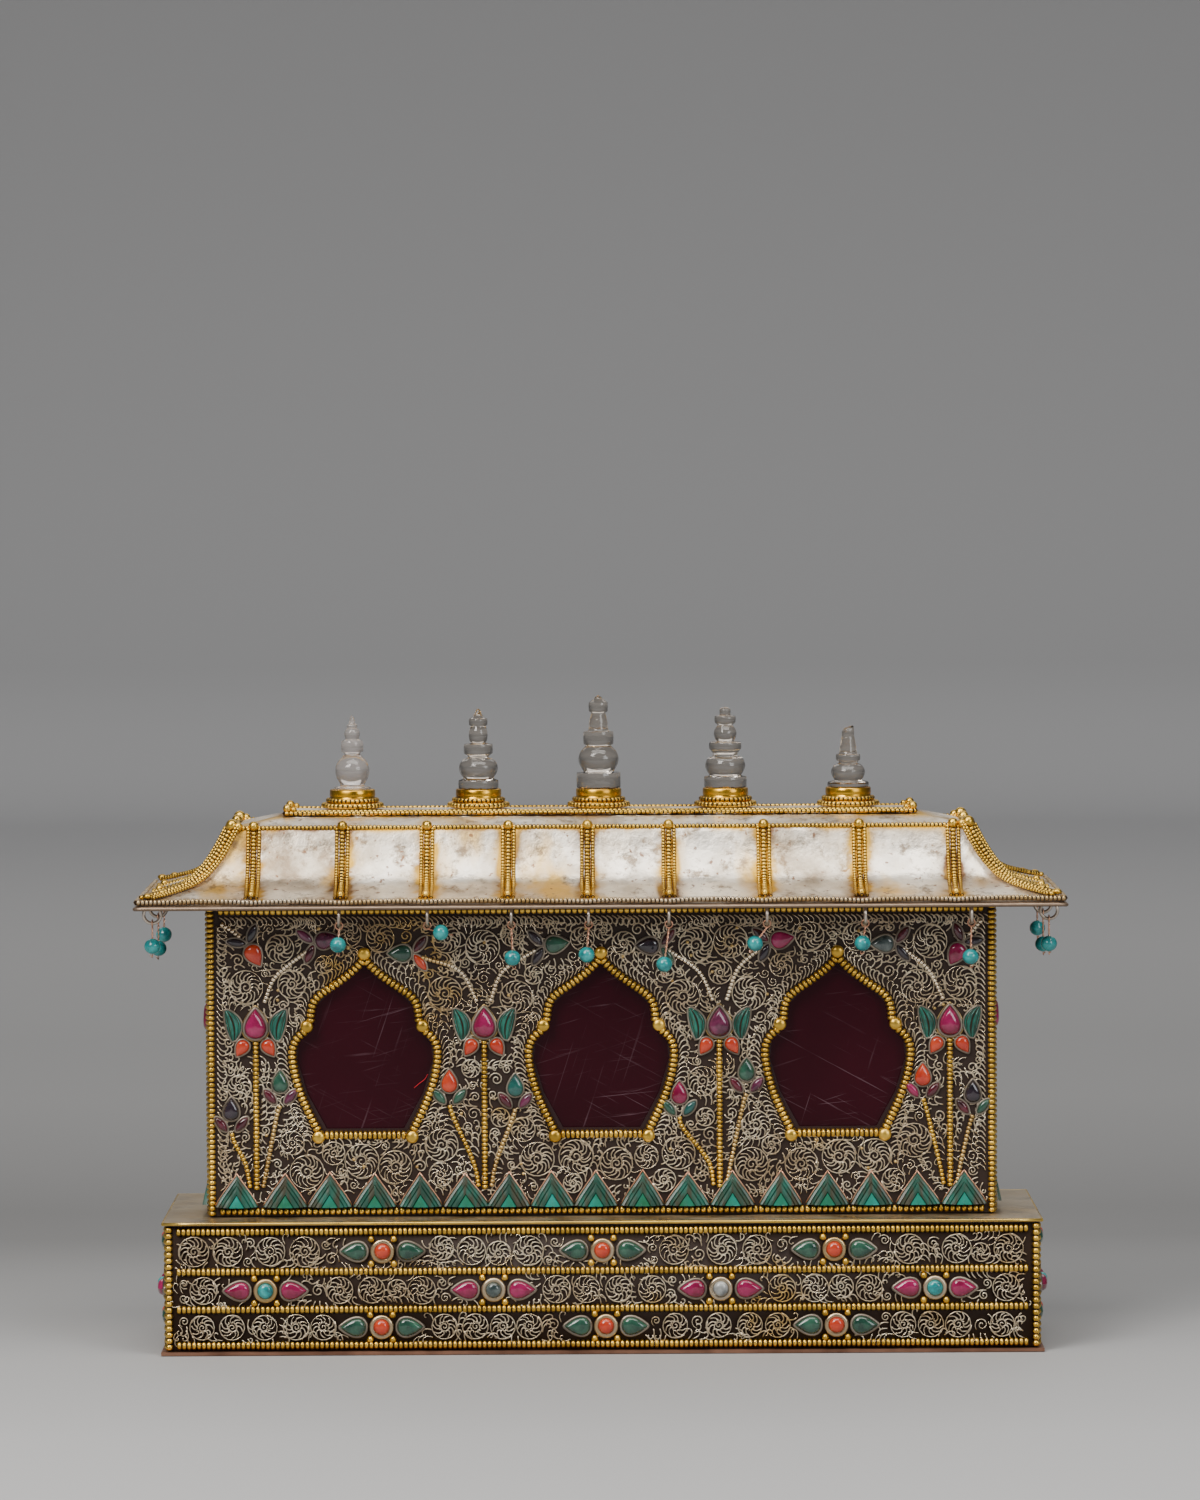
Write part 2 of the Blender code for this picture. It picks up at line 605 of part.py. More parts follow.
def ring_places():
    return [(side, u) for side, pendants in PENDANTS.items() for u, _, _ in pendants]


def eave_offset(side):
    half = EAVE_DEPTH / 2 if side in ("front", "back") else EAVE_WIDTH / 2
    return half - RING_INSET - RING_RADIUS


def eave_ring(relief, side, u):
    """A ring soldered under the eave, edge-on to the side it hangs on."""
    place = panel_place(side, 0.0, 0.0)
    rings = []
    for step in range(RING_SIDES):
        turn = math.tau * (step + 0.5) / RING_SIDES
        rings.append([(u + RING_WIRE * math.cos(math.tau * k / 3),
                       RING_CENTRE + (RING_RADIUS + RING_WIRE * math.sin(math.tau * k / 3)) * math.cos(turn),
                       eave_offset(side) + (RING_RADIUS + RING_WIRE * math.sin(math.tau * k / 3)) * math.sin(turn))
                      for k in range(3)])
    relief.loft(rings, place, loop=True)


def build_deck():
    shell = Shell()
    half_w = DECK_WIDTH / 2
    half_d = DECK_DEPTH / 2
    swell = 0.6
    middle = (DECK_FOOT + DECK_TOP) / 2
    shell.loft([rectangle(half_w - swell, half_d - swell, DECK_FOOT), rectangle(half_w, half_d, middle),
                rectangle(half_w - swell, half_d - swell, DECK_TOP)])
    deck = new_object("ridge_deck", shell, SOLIDS, (SILVER, 1.0, 0.35))
    knobs = Shell()
    for end_w in (-1, 1):
        for end_d in (-1, 1):
            knobs.ball((end_w * (half_w - 1.6), end_d * (half_d - 1.6), DECK_TOP + 0.4), BALL)
    combine(deck, new_object("deck_knobs", knobs, CUTTERS), "UNION")


def build_collar(number, u):
    """A cup on two stepped bead rings."""
    foot = DECK_TOP + GAP
    top = DECK_TOP + COLLAR_TOP
    bore = COLLAR_RADIUS - COLLAR_WALL
    spot = (u, 0.0)
    steps = ((COLLAR_LOW_RADIUS, foot), (COLLAR_LOW_RADIUS, foot + COLLAR_STEP * 0.8),
             (COLLAR_MID_RADIUS, foot + COLLAR_STEP), (COLLAR_MID_RADIUS, foot + COLLAR_STEP * 1.8),
             (COLLAR_RADIUS, foot + COLLAR_STEP * 2.0),
             (COLLAR_RADIUS, top), (bore, top), (bore, foot + COLLAR_FLOOR))
    shell = Shell()
    shell.loft([circle(radius, z, COLLAR_SIDES, spot) for radius, z in steps])
    new_object("finial_collar_" + str(number), shell, SOLIDS, (GILT, 1.0, 0.35))


def build_crystal(number, u, profile):
    """A turned stupa of rock crystal on a plug that stands in the collar."""
    plug = COLLAR_RADIUS - COLLAR_WALL - GAP
    rim = DECK_TOP + COLLAR_TOP + GAP
    rings = [(plug, rim - PLUG_DEPTH), (plug, rim), (profile[-1][1], rim)]
    scale_foot = [(radius, DECK_TOP + z) for z, radius in reversed(profile) if DECK_TOP + z > rim + 0.3]
    shell = Shell()
    shell.loft([circle(radius, z, CRYSTAL_SIDES, (u, 0.0)) for radius, z in rings + scale_foot])
    new_object("crystal_stupa_" + str(number), shell, SOLIDS, (CRYSTAL, 0.0, 0.05))


def build_pendant(name, side, u, shift, bead_z):
    """A bead on a wire whose loop goes round the foot of its eave ring."""
    place = panel_place(side, 0.0, 0.0)
    offset = eave_offset(side)
    ring_foot = RING_CENTRE - RING_RADIUS
    loop = RING_WIRE + GAP + PENDANT_WIRE
    sides = 6
    shell = Shell()
    rings = []
    for step in range(sides):
        turn = math.tau * (step + 0.5) / sides
        out = [loop / math.cos(math.pi / sides) + PENDANT_WIRE * c for c in (-1, 0.5, 0.5)]
        depth = [0.0, -0.87 * PENDANT_WIRE, 0.87 * PENDANT_WIRE]
        rings.append([(u + radius * math.sin(turn), ring_foot + radius * math.cos(turn), offset + w)
                      for radius, w in zip(out, depth)])
    shell.loft(rings, place, loop=True)
    made = new_object(name, shell, SOLIDS, (TURQUOISE, 0.0, 0.3))
    top = Vector((u, ring_foot - loop, offset))
    centre = Vector((u + shift, bead_z, offset))
    along = (centre - top).normalized()
    side_way = Vector((0.0, 0.0, 1.0)).cross(along).normalized()
    depth_way = along.cross(side_way)
    rest = Shell()
    stations = ((top, PENDANT_WIRE), (centre - along * BEAD_RADIUS, PENDANT_WIRE),
                (centre - along * BEAD_RADIUS * 0.5, BEAD_RADIUS * 0.92),
                (centre + along * BEAD_RADIUS * 0.5, BEAD_RADIUS * 0.92),
                (centre + along * BEAD_RADIUS, PENDANT_WIRE))
    turns = [math.tau * k / 5 for k in range(5)]
    rest.loft([[spot + side_way * radius * math.cos(turn) + depth_way * radius * math.sin(turn) for turn in turns]
               for spot, radius in stations], place)
    combine(made, new_object(name + "_bead", rest, CUTTERS), "UNION")


def build_pendants():
    for side, pendants in PENDANTS.items():
        for number, (u, shift, bead_z) in enumerate(pendants, 1):
            build_pendant("pendant_" + side + "_" + str(number), side, u, shift, bead_z)


build_base()
build_case()
for facing in ("front", "back", "left", "right"):
    build_plinth_panel(facing)
build_walls()
build_front_panel()
for facing in ("back", "left", "right"):
    build_plain_panel(facing)
build_panes()
build_roof()
build_deck()
for finial, (x, outline_points) in enumerate(zip(FINIALS, CRYSTALS), 1):
    build_collar(finial, x)
    build_crystal(finial, x, outline_points)
build_pendants()
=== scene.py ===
"""Looks of the shrine box: filigree, beading, set stones, roof sheet, crystal finials and materials.

Lengths are in millimetres until a mesh is made. A panel is drawn in its own plane as (u, v, w): u to the
right, v up from the panel's foot, w outward.
"""

import math
import random

import bpy
import numpy as np
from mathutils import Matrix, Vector


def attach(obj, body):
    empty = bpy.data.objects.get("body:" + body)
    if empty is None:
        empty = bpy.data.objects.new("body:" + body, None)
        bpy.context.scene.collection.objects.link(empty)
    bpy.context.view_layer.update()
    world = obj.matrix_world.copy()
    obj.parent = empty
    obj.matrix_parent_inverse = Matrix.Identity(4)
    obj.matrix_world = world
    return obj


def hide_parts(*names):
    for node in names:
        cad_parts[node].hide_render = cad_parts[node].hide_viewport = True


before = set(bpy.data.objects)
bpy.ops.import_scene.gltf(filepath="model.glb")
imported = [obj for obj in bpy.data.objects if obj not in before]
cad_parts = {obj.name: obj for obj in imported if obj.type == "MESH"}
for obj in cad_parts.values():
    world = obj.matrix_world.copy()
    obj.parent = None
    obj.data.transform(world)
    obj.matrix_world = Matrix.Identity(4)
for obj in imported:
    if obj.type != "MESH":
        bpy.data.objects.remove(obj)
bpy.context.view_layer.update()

MM = 0.001
rng = random.Random(11)

# Sizes shared with the solids
GAP = 0.3
PLINTH_WIDTH = 264.0
PLINTH_DEPTH = 76.0
PLINTH_TOP = 40.0
PLINTH_FOOT = 1.3
SKIN_TOP = 38.7
SKIN = 0.8
BAR_RISE = 1.3
BODY_WIDTH = 239.0
BODY_DEPTH = 51.0
BODY_FOOT = 40.3
BODY_TOP = 134.0
WINDOW_SPACING = 71.3
EAVE_WIDTH = 279.0
EAVE_DEPTH = 91.0
EAVE_BOTTOM = 134.3
EAVE_LIP = 2.4
LIP_TOP = EAVE_BOTTOM + EAVE_LIP
EAVE_HALF_W = EAVE_WIDTH / 2
EAVE_HALF_D = EAVE_DEPTH / 2
# The slope's sheet starts this far inside the eave, and hand work dents it by up to this
SEAM = 1.7
DENT = 0.1
SLOPE_TOP_WIDTH = 222.0
SLOPE_TOP_DEPTH = 44.0
SLOPE_TOP = 157.2
TIER_TOP_WIDTH = 195.0
TIER_TOP_DEPTH = 26.0
TIER_TOP = 160.2
DECK_WIDTH = 193.0
DECK_DEPTH = 24.0
DECK_FOOT = 160.5
DECK_TOP = 162.0
RING_RADIUS = 2.6
RING_WIRE = 0.53
RING_CENTRE = EAVE_BOTTOM - RING_RADIUS + RING_WIRE * 0.4
RING_INSET = 2.0
BEAD_RADIUS = 2.5
WALL_W = BODY_WIDTH / 2 - BAR_RISE - SKIN - GAP - 1.0
WALL_D = BODY_DEPTH / 2 - BAR_RISE - SKIN - GAP - 1.0
COLUMN_WIDTH = 2.8
BAR_HEIGHT = 2.7

SLOPE = ((0.0, 0.0), (0.2, 0.055), (0.42, 0.135), (0.55, 0.2), (0.66, 0.3), (0.76, 0.44), (0.83, 0.57),
         (0.9, 0.73), (0.95, 0.86), (1.0, 1.0))
# Right half of a window frame's centre line, from its foot to the apex
WINDOW = ((13.9, 24.0), (16.6, 29.4), (19.4, 35.6), (21.4, 42.0), (22.3, 47.6), (22.1, 51.2), (20.7, 54.2),
          (18.2, 56.4), (16.8, 58.6), (16.6, 61.4), (16.0, 64.2), (14.2, 66.9), (10.6, 69.4), (6.6, 72.2),
          (3.2, 75.0), (0.0, 78.4))
WINDOW_SHOULDER = 8
WINDOW_FOOT_POINTS = 11
NOTCH = (17.4, 57.4)

STEMS = (-104.2, -35.3, 35.6, 105.1)
STEM_STONES = ("ruby", "ruby", "plum", "ruby")
BACK_STEMS = (-WINDOW_SPACING, 0.0, WINDOW_SPACING)
STEM_FOOT = 8.0
LOTUS_FOOT = 53.0
LOTUS_V = 58.4

# Buds: u, v, pear's stone, left and right marquise's stone
BUDS = ((-111.7, 32.6, "onyx", "garnet", "garnet"), (-96.9, 40.9, "green", "garnet", "plum"),
        (-45.9, 40.7, "coral", "green", "green"), (-26.0, 39.4, "teal", "garnet", "plum"),
        (23.5, 36.9, "ruby", "green", "teal"), (43.8, 43.8, "green", "garnet", "plum"),
        (96.9, 42.0, "coral", "ruby", "garnet"), (112.0, 36.9, "onyx", "garnet", "green"))
# Sprays of three: u, v, where the pear points, pear's stone and the marquises' stones
SPRAYS = ((-106.4, 82.4, 300, "coral", "onyx", "onyx"), (-86.4, 82.6, 15, "plum", "garnet", "plum"),
          (-56.6, 79.4, 180, "green", "garnet", "coral"), (-17.2, 81.4, 8, "green", "onyx", "onyx"),
          (18.0, 81.2, 178, "onyx", "garnet", "green"), (50.8, 82.2, 12, "ruby", "onyx", "garnet"),
          (88.8, 81.6, 180, "slate", "garnet", "onyx"), (109.0, 81.8, 240, "ruby", "garnet", "onyx"))
# Silver branches: start, bend, end
BRANCHES = (((-101.6, 64.6), (-98.0, 72.6), (-88.6, 80.2)), ((-37.4, 64.6), (-42.6, 74.0), (-54.2, 78.2)),
            ((-33.4, 64.6), (-29.6, 73.8), (-19.6, 80.2)), ((33.8, 64.6), (29.4, 73.6), (20.2, 80.0)),
            ((37.8, 64.6), (41.4, 74.4), (48.8, 81.0)), ((103.2, 64.6), (98.8, 73.6), (90.8, 80.4)),
            ((-114.6, 88.6), (-111.4, 86.6), (-108.6, 84.4)), ((114.8, 88.6), (112.8, 86.4), (110.8, 84.0)))
PETALS = (-110.3, -95.6, -82.2, -68.6, -54.7, -41.0, -28.2, -14.9, -1.9, 12.2, 25.6, 39.4, 53.9, 68.0, 81.4,
          95.4, 109.3)
PETAL_FOOT = 2.7
PETAL_HEIGHT = 10.4
PETAL_WIDTH = 12.4
PETAL_RISE = 3.0
SIDE_PETALS = (-13.6, 0.0, 13.6)

PLINTH_ROWS = (1.5, 12.3, 23.7, 35.8)
# Triplets from the top band down: u, pears' stone, centre's stone
PLINTH_TRIPLETS = (((-66.0, "green", "coral"), (0.0, "green", "coral"), (69.6, "green", "coral")),
                   ((-101.2, "ruby", "turquoise"), (-32.7, "ruby", "slate"), (35.5, "ruby", "moonstone"),
                    (99.8, "ruby", "turquoise")),
                   ((-66.4, "green", "coral"), (1.0, "green", "coral"), (70.2, "green", "coral")))
BACK_TRIPLETS = (((0.0, "green", "coral"),), ((-68.0, "ruby", "turquoise"), (68.0, "ruby", "turquoise")),
                 ((0.0, "green", "coral"),))
SIDE_TRIPLETS = (((0.0, "green", "coral"),), ((-19.0, "ruby", "turquoise"), (19.0, "ruby", "turquoise")),
                 ((0.0, "green", "coral"),))
PEAR_OFFSET = 8.6
# A disc far below the plinth, for bands that have none of their own
BELOW = (0.0, -50.0, 1.0)

RIBS = (-104.4, -77.7, -52.2, -27.7, -3.9, 20.6, 49.2, 78.0, 106.3)
BACK_RIBS = (-90.0, -30.0, 30.0, 90.0)
SIDE_RIBS = (-11.5, 11.5)

FRONT_PENDANTS = ((-78.2, -0.4, 123.6), (-51.8, 4.0, 127.2), (-26.7, 0.3, 119.4), (-3.6, -0.6, 120.3),
                  (20.4, -1.5, 117.3), (49.7, -3.6, 123.4), (79.1, -0.9, 123.3), (110.8, -0.3, 119.1))
BACK_PENDANTS = ((-90.0, 0.3, 120.8), (-30.0, -0.4, 122.6), (30.0, 0.5, 119.8), (90.0, 0.2, 123.0))
SIDE_PENDANTS = ((-27.0, 0.3, 121.8), (0.0, -0.2, 119.6), (27.0, 0.2, 122.4))
PENDANTS = {"front": FRONT_PENDANTS, "back": BACK_PENDANTS, "left": SIDE_PENDANTS, "right": SIDE_PENDANTS}

FINIALS = (-75.4, -37.0, -0.4, 38.2, 75.6)
# Crystal profiles from the tip down: height above the deck and radius
CRYSTALS = (
    ((28.4, 0.0), (27.9, 0.5), (26.7, 0.8), (25.9, 1.0), (25.5, 1.6), (25.0, 1.6), (24.6, 1.4), (24.0, 2.0),
     (23.1, 2.4), (22.2, 2.3), (21.3, 2.1), (20.9, 2.7), (20.4, 3.3),
     (17.7, 3.4), (17.3, 2.9), (16.7, 2.4), (15.9, 3.0), (14.4, 4.4), (12.8, 5.1), (11.2, 5.2), (9.4, 4.8),
     (7.9, 4.0), (7.0, 3.8), (6.7, 5.2), (6.3, 5.7)),
    ((30.3, 0.0), (29.9, 0.6), (28.4, 1.3), (27.5, 2.2), (27.1, 2.8), (25.4, 2.8), (25.0, 2.3), (23.8, 2.7),
     (22.2, 2.9), (20.6, 2.7), (19.9, 2.3), (19.6, 4.0), (19.2, 4.4), (16.8, 4.4), (16.4, 4.0), (15.5, 3.1),
     (14.6, 4.9), (13.2, 5.8), (11.8, 5.9), (10.2, 5.4), (9.2, 4.6), (8.7, 5.6), (8.3, 6.1), (6.3, 6.1)),
    ((34.3, 0.0), (33.9, 0.7), (32.8, 1.7), (32.2, 2.6), (31.8, 2.9), (29.5, 2.9), (29.0, 2.4), (28.6, 2.2),
     (26.0, 2.8), (23.6, 3.1), (23.2, 4.2), (22.8, 4.6), (19.6, 4.6), (19.2, 4.2), (18.7, 4.0), (17.2, 5.4),
     (15.4, 6.1), (13.6, 6.0), (11.9, 5.2), (10.9, 4.6), (10.7, 6.2), (10.3, 6.7), (6.3, 6.7)),
    ((30.5, 0.0), (30.3, 0.9), (29.6, 1.7), (28.1, 1.7), (27.8, 2.8), (27.4, 3.2), (25.9, 3.2), (25.3, 2.7),
     (24.8, 2.4), (23.6, 3.2), (22.2, 3.5), (20.8, 3.1), (20.0, 2.7), (19.8, 4.5), (19.4, 4.9), (17.8, 4.9),
     (17.2, 4.4), (15.6, 3.8), (14.8, 5.4), (13.4, 6.0), (12.2, 6.1), (10.6, 5.5), (9.7, 4.9), (9.4, 6.0),
     (9.0, 6.5), (6.3, 6.5)),
    ((24.2, 0.0), (24.2, 1.5), (23.5, 1.85), (21.3, 1.9), (20.9, 2.0), (18.6, 2.4), (16.2, 2.8), (15.9, 3.4),
     (15.6, 3.7), (14.2, 3.7), (13.8, 3.3), (13.2, 2.9), (12.6, 4.1), (11.4, 5.0), (10.2, 5.2), (8.8, 4.7),
     (8.0, 4.2), (7.6, 5.8), (7.2, 6.3), (6.3, 6.3)),
)
MILKY_FINIAL = 1
BROKEN_FINIAL = 5
# Height of the break above the deck, and the least angle in degrees of an edge that stays crisp
BREAK_HEIGHT = 23.0
CRISP_ANGLE = 38.0
COLLAR_LOW_RADIUS = 9.6
COLLAR_MID_RADIUS = 8.2
COLLAR_RADIUS = 6.95
COLLAR_BORE = COLLAR_RADIUS - 0.9
COLLAR_TOP = 5.9

# Radius of a pendant's wire, and its tail under the bead: down the wire, sideways and outward
STRAND = 0.17
SHORTEST_TWIST = 0.6
TAIL = ((0.0, 0.0, 0.0), (0.5, 0.0, 0.0), (0.9, 0.35, 0.1), (0.5, 0.8, 0.3), (0.1, 0.75, 0.7))
THREAD = ((-56.6, 38.4, 0.2), (-55.0, 39.8, 0.5), (-53.4, 41.0, 0.5), (-52.4, 42.6, 0.3))

# Studio in metres: painted light and shade of the floor by y and of the wall by z
FLOOR_START = -0.5
FLOOR_END = 2.6
FLOOR_PAINTED_LIGHT = ((-0.5, 0.45), (-0.2, 0.43), (0.06, 0.3), (0.25, 0.17), (0.33, 0.16), (0.49, 0.205),
               (0.72, 0.265), (0.98, 0.3), (1.3, 0.375), (1.7, 0.485), (2.2, 0.65), (2.6, 0.75))
FLOOR_FRONT = -3.5
FLOOR_SINK = 0.0002
STAGE_HALF_WIDTH = 5.0
STAGE_HEIGHT = 4.0
WALL_END = 1.2
WALL_PAINTED_LIGHT = ((0.0, 0.72), (0.04, 0.63), (0.085, 0.575), (0.13, 0.555), (0.3, 0.505), (0.6, 0.452),
              (1.2, 0.42))
SWEEP = 0.4
SWEEP_STEPS = 12
# Lights: name, place, target, width and height, power and colour
LIGHTS = (("key", (-0.9, -1.3, 1.3), (0.0, 0.0, 0.08), (0.8, 0.8), 27.0, (1.0, 0.97, 0.93)),
          ("fill", (1.3, -1.5, 0.8), (0.0, 0.0, 0.08), (0.9, 0.9), 13.0, (0.96, 0.98, 1.0)),
          ("top", (0.0, -0.55, 1.5), (0.0, 0.0, 0.12), (1.8, 0.9), 25.0, (1.0, 0.97, 0.92)),
          ("back", (0.0, 1.5, 1.35), (0.0, 0.0, 0.12), (2.2, 0.9), 7.0, (1.0, 0.98, 0.95)))

# Camera, from the photo's perspective
CAMERA_X = 0.0006
CAMERA_DISTANCE = 2.028
CAMERA_HEIGHT = 0.28
CAMERA_PITCH = 2.837
CAMERA_ROLL = 0.3
CAMERA_LENS = 160.0


def shader_of(made):
    return made.node_tree.nodes["Principled BSDF"]


def plain(name, colour, metallic=0.0, roughness=0.4, coat=0.0):
    made = bpy.data.materials.new(name)
    made.use_nodes = True
    shader = shader_of(made)
    shader.inputs["Base Color"].default_value = (*colour, 1.0)
    shader.inputs["Metallic"].default_value = metallic
    shader.inputs["Roughness"].default_value = roughness
    shader.inputs["Coat Weight"].default_value = coat
    return made


class Graph:
    """Small helper that adds nodes to one material and links them."""

    def __init__(self, made):
        self.tree = made.node_tree
        self.shader = shader_of(made)
        self.coords = self.node("ShaderNodeTexCoord").outputs["Object"]

    def node(self, kind):
        return self.tree.nodes.new(kind)

    def link(self, source, target):
        self.tree.links.new(source, target)

    def mapped(self, coords, socket, value):
        """Coordinates that a mapping node has scaled or turned."""
        mapping = self.node("ShaderNodeMapping")
        mapping.inputs[socket].default_value = value
        self.link(coords, mapping.inputs["Vector"])
        return mapping.outputs["Vector"]

    def noise(self, scale, detail=3.0, stretch=(1.0, 1.0, 1.0), roughness=0.5, coords=None):
        texture = self.node("ShaderNodeTexNoise")
        for socket, number in (("Scale", scale), ("Detail", detail), ("Roughness", roughness)):
            texture.inputs[socket].default_value = number
        source = self.coords if coords is None else coords
        self.link(self.mapped(source, "Scale", stretch), texture.inputs["Vector"])
        return texture.outputs["Fac"]

    def pointiness(self):
        return self.node("ShaderNodeNewGeometry").outputs["Pointiness"]

    def ramp(self, value, stops):
        ramp = self.node("ShaderNodeValToRGB")
        elements = ramp.color_ramp.elements
        while len(elements) < len(stops):
            elements.new(0.5)
        for element, (place, colour) in zip(elements, stops):
            element.position = place
            element.color = (*colour, 1.0)
        self.link(value, ramp.inputs["Fac"])
        return ramp.outputs["Color"]

    def span(self, value, low, high, start, end):
        node = self.node("ShaderNodeMapRange")
        for socket, number in (("From Min", low), ("From Max", high), ("To Min", start), ("To Max", end)):
            node.inputs[socket].default_value = number
        self.link(value, node.inputs["Value"])
        return node.outputs["Result"]

    def mix(self, share, first, second, mode="MIX"):
        node = self.node("ShaderNodeMix")
        node.data_type = "RGBA"
        node.blend_type = mode
        sockets = [s for s in node.inputs if s.enabled]
        for socket, value in zip(sockets, (share, first, second)):
            if isinstance(value, (int, float)):
                socket.default_value = value
            elif isinstance(value, tuple):
                socket.default_value = (*value, 1.0)
            else:
                self.link(value, socket)
        return [s for s in node.outputs if s.enabled][0]

    def bump(self, height, distance, strength=0.5):
        node = self.node("ShaderNodeBump")
        node.inputs["Strength"].default_value = strength
        node.inputs["Distance"].default_value = distance
        self.link(height, node.inputs["Height"])
        self.link(node.outputs["Normal"], self.shader.inputs["Normal"])

    def colour(self, value):
        self.link(value, self.shader.inputs["Base Color"])

    def roughness(self, value):
        self.link(value, self.shader.inputs["Roughness"])


def aged_metal(name, bright, mid, dark, roughness, patch, recess):
    """Metal that is bright where it is rubbed, with painted shade in its recesses."""
    made = plain(name, mid, 1.0, roughness)
    graph = Graph(made)
    worn = graph.ramp(graph.noise(patch, 4.0), ((0.3, mid), (0.62, bright)))
    # Painted shade: concave spots, by pointiness, are darkened towards the dark colour
    hollow = graph.span(graph.pointiness(), *recess, 1.0, 0.0)
    graph.colour(graph.mix(hollow, worn, dark))
    graph.roughness(graph.span(graph.noise(patch * 3.0), 0.3, 0.7, roughness * 0.75, roughness * 1.4))
    return made


def filigree_metal():
    """Pale silver wire with painted brown shade in its recesses, gilded here and there."""
    made = aged_metal("filigree_wire", (0.98, 0.86, 0.66), (0.68, 0.52, 0.33), (0.12, 0.07, 0.03), 0.28, 45.0,
                      (0.42, 0.5))
    graph = Graph(made)
    base = shader_of(made).inputs["Base Color"].links[0].from_socket
    smear = graph.span(graph.noise(26.0, 5.0, roughness=0.6), 0.58, 0.68, 0.0, 0.8)
    graph.colour(graph.mix(smear, base, (0.72, 0.45, 0.10)))
    return made


def sheet_metal():
    """Silvered sheet with flakes, brown specks, grey stains and yellow smears, and grime at its rims."""
    made = plain("silver_sheet", (0.8, 0.77, 0.72), 0.82, 0.3)
    graph = Graph(made)
    tone = graph.ramp(graph.noise(38.0, 6.0, roughness=0.62),
                      ((0.32, (0.34, 0.26, 0.18)), (0.45, (0.70, 0.61, 0.49)), (0.58, (1.0, 0.93, 0.82))))
    smear = graph.span(graph.noise(30.0, 4.0, (1.3, 1.0, 0.45)), 0.55, 0.66, 0.0, 0.9)
    toned = graph.mix(smear, tone, (0.70, 0.42, 0.07))
    stain = graph.span(graph.noise(130.0, 7.0, roughness=0.72), 0.54, 0.64, 0.0, 0.85)
    stained = graph.mix(stain, toned, (0.22, 0.15, 0.09))
    specks = graph.span(graph.noise(460.0, 3.0), 0.64, 0.70, 0.0, 0.85)
    spotted = graph.mix(specks, stained, (0.22, 0.10, 0.05))
    grime = graph.node("ShaderNodeAttribute")
    grime.attribute_name = "grime"
    patches = graph.span(graph.noise(110.0, 5.0), 0.34, 0.56, 0.0, 2.0)
    edge = graph.mix(1.0, grime.outputs["Fac"], patches, "MULTIPLY")
    rim = graph.ramp(graph.noise(55.0, 4.0), ((0.44, (0.17, 0.09, 0.045)), (0.60, (0.66, 0.39, 0.05))))
    lip = graph.span(grime.outputs["Fac"], -0.5, -0.1, 1.0, 0.0)
    graph.colour(graph.mix(lip, graph.mix(edge, spotted, rim), (0.24, 0.17, 0.12)))
    graph.roughness(graph.span(graph.noise(110.0, 6.0, roughness=0.65), 0.35, 0.7, 0.3, 0.55))
    graph.bump(graph.noise(95.0, 6.0, roughness=0.6), 0.0015, 0.5)
    return made


def stone_material(name, deep, light, roughness, patch, through=0.0):
    """A polished stone with lighter clouds in it."""
    made = plain(name, deep, 0.0, roughness, 0.6)
    graph = Graph(made)
    graph.colour(graph.ramp(graph.noise(patch, 4.0, roughness=0.65), ((0.36, deep), (0.68, light))))
    shader_of(made).inputs["Transmission Weight"].default_value = through
    shader_of(made).inputs["Coat Roughness"].default_value = 0.06
    return made


def turquoise_material():
    """Turquoise with dark brown veins."""
    made = plain("turquoise_veined", (0.02, 0.42, 0.4), 0.0, 0.22, 0.5)
    graph = Graph(made)
    body = graph.ramp(graph.noise(330.0, 4.0),
                      ((0.32, (0.003, 0.12, 0.13)), (0.5, (0.007, 0.26, 0.265)), (0.72, (0.035, 0.42, 0.41))))
    veins = graph.span(graph.noise(520.0, 5.0, roughness=0.7), 0.485, 0.515, 0.0, 1.0)
    line = graph.ramp(veins, ((0.0, (0, 0, 0)), (0.5, (1, 1, 1)), (1.0, (0, 0, 0))))
    scarce = graph.mix(1.0, line, graph.span(graph.noise(200.0), 0.42, 0.55, 0.0, 0.9), "MULTIPLY")
    graph.colour(graph.mix(scarce, body, (0.03, 0.02, 0.015)))
    return made


def petal_material():
    """Green stone with brown streaks that run down it."""
    made = plain("petal_streaked", (0.01, 0.1, 0.07), 0.0, 0.38, 0.15)
    graph = Graph(made)
    body = graph.ramp(graph.noise(120.0, 4.0),
                      ((0.3, (0.008, 0.035, 0.022)), (0.5, (0.01, 0.07, 0.046)), (0.72, (0.016, 0.15, 0.11))))
    grain = graph.noise(300.0, 4.0, (1.6, 1.0, 0.28))
    graph.colour(graph.mix(graph.span(grain, 0.46, 0.60, 0.0, 0.85), body, (0.045, 0.036, 0.018)))
    graph.bump(grain, 0.0003, 0.5)
    return made


def pane_material():
    """Dark red pane with fine scratches in several directions."""
    made = plain("pane_glass", (0.035, 0.003, 0.008), 0.0, 0.12)
    graph = Graph(made)
    scratches = None
    for turn, scale in ((0.3, 520.0), (-0.5, 610.0), (1.25, 480.0), (0.1, 700.0)):
        slanted = graph.mapped(graph.coords, "Rotation", (0.0, turn, 0.0))
        line = graph.span(graph.noise(scale, stretch=(0.055, 1.0, 2.4), coords=slanted), 0.66, 0.72, 0.0, 1.0)
        scratches = line if scratches is None else graph.mix(1.0, scratches, line, "ADD")
    fade = graph.span(graph.noise(45.0), 0.42, 0.66, 0.0, 0.38)
    seen = graph.mix(1.0, scratches, fade, "MULTIPLY")
    bloom = graph.ramp(graph.noise(22.0), ((0.35, (0.022, 0.0004, 0.0035)), (0.75, (0.034, 0.0012, 0.006))))
    shader_of(made).inputs["Specular IOR Level"].default_value = 0.14
    graph.colour(graph.mix(seen, bloom, (0.22, 0.13, 0.16)))
    graph.roughness(graph.mix(seen, (0.10, 0.10, 0.10), (0.5, 0.5, 0.5)))
    return made


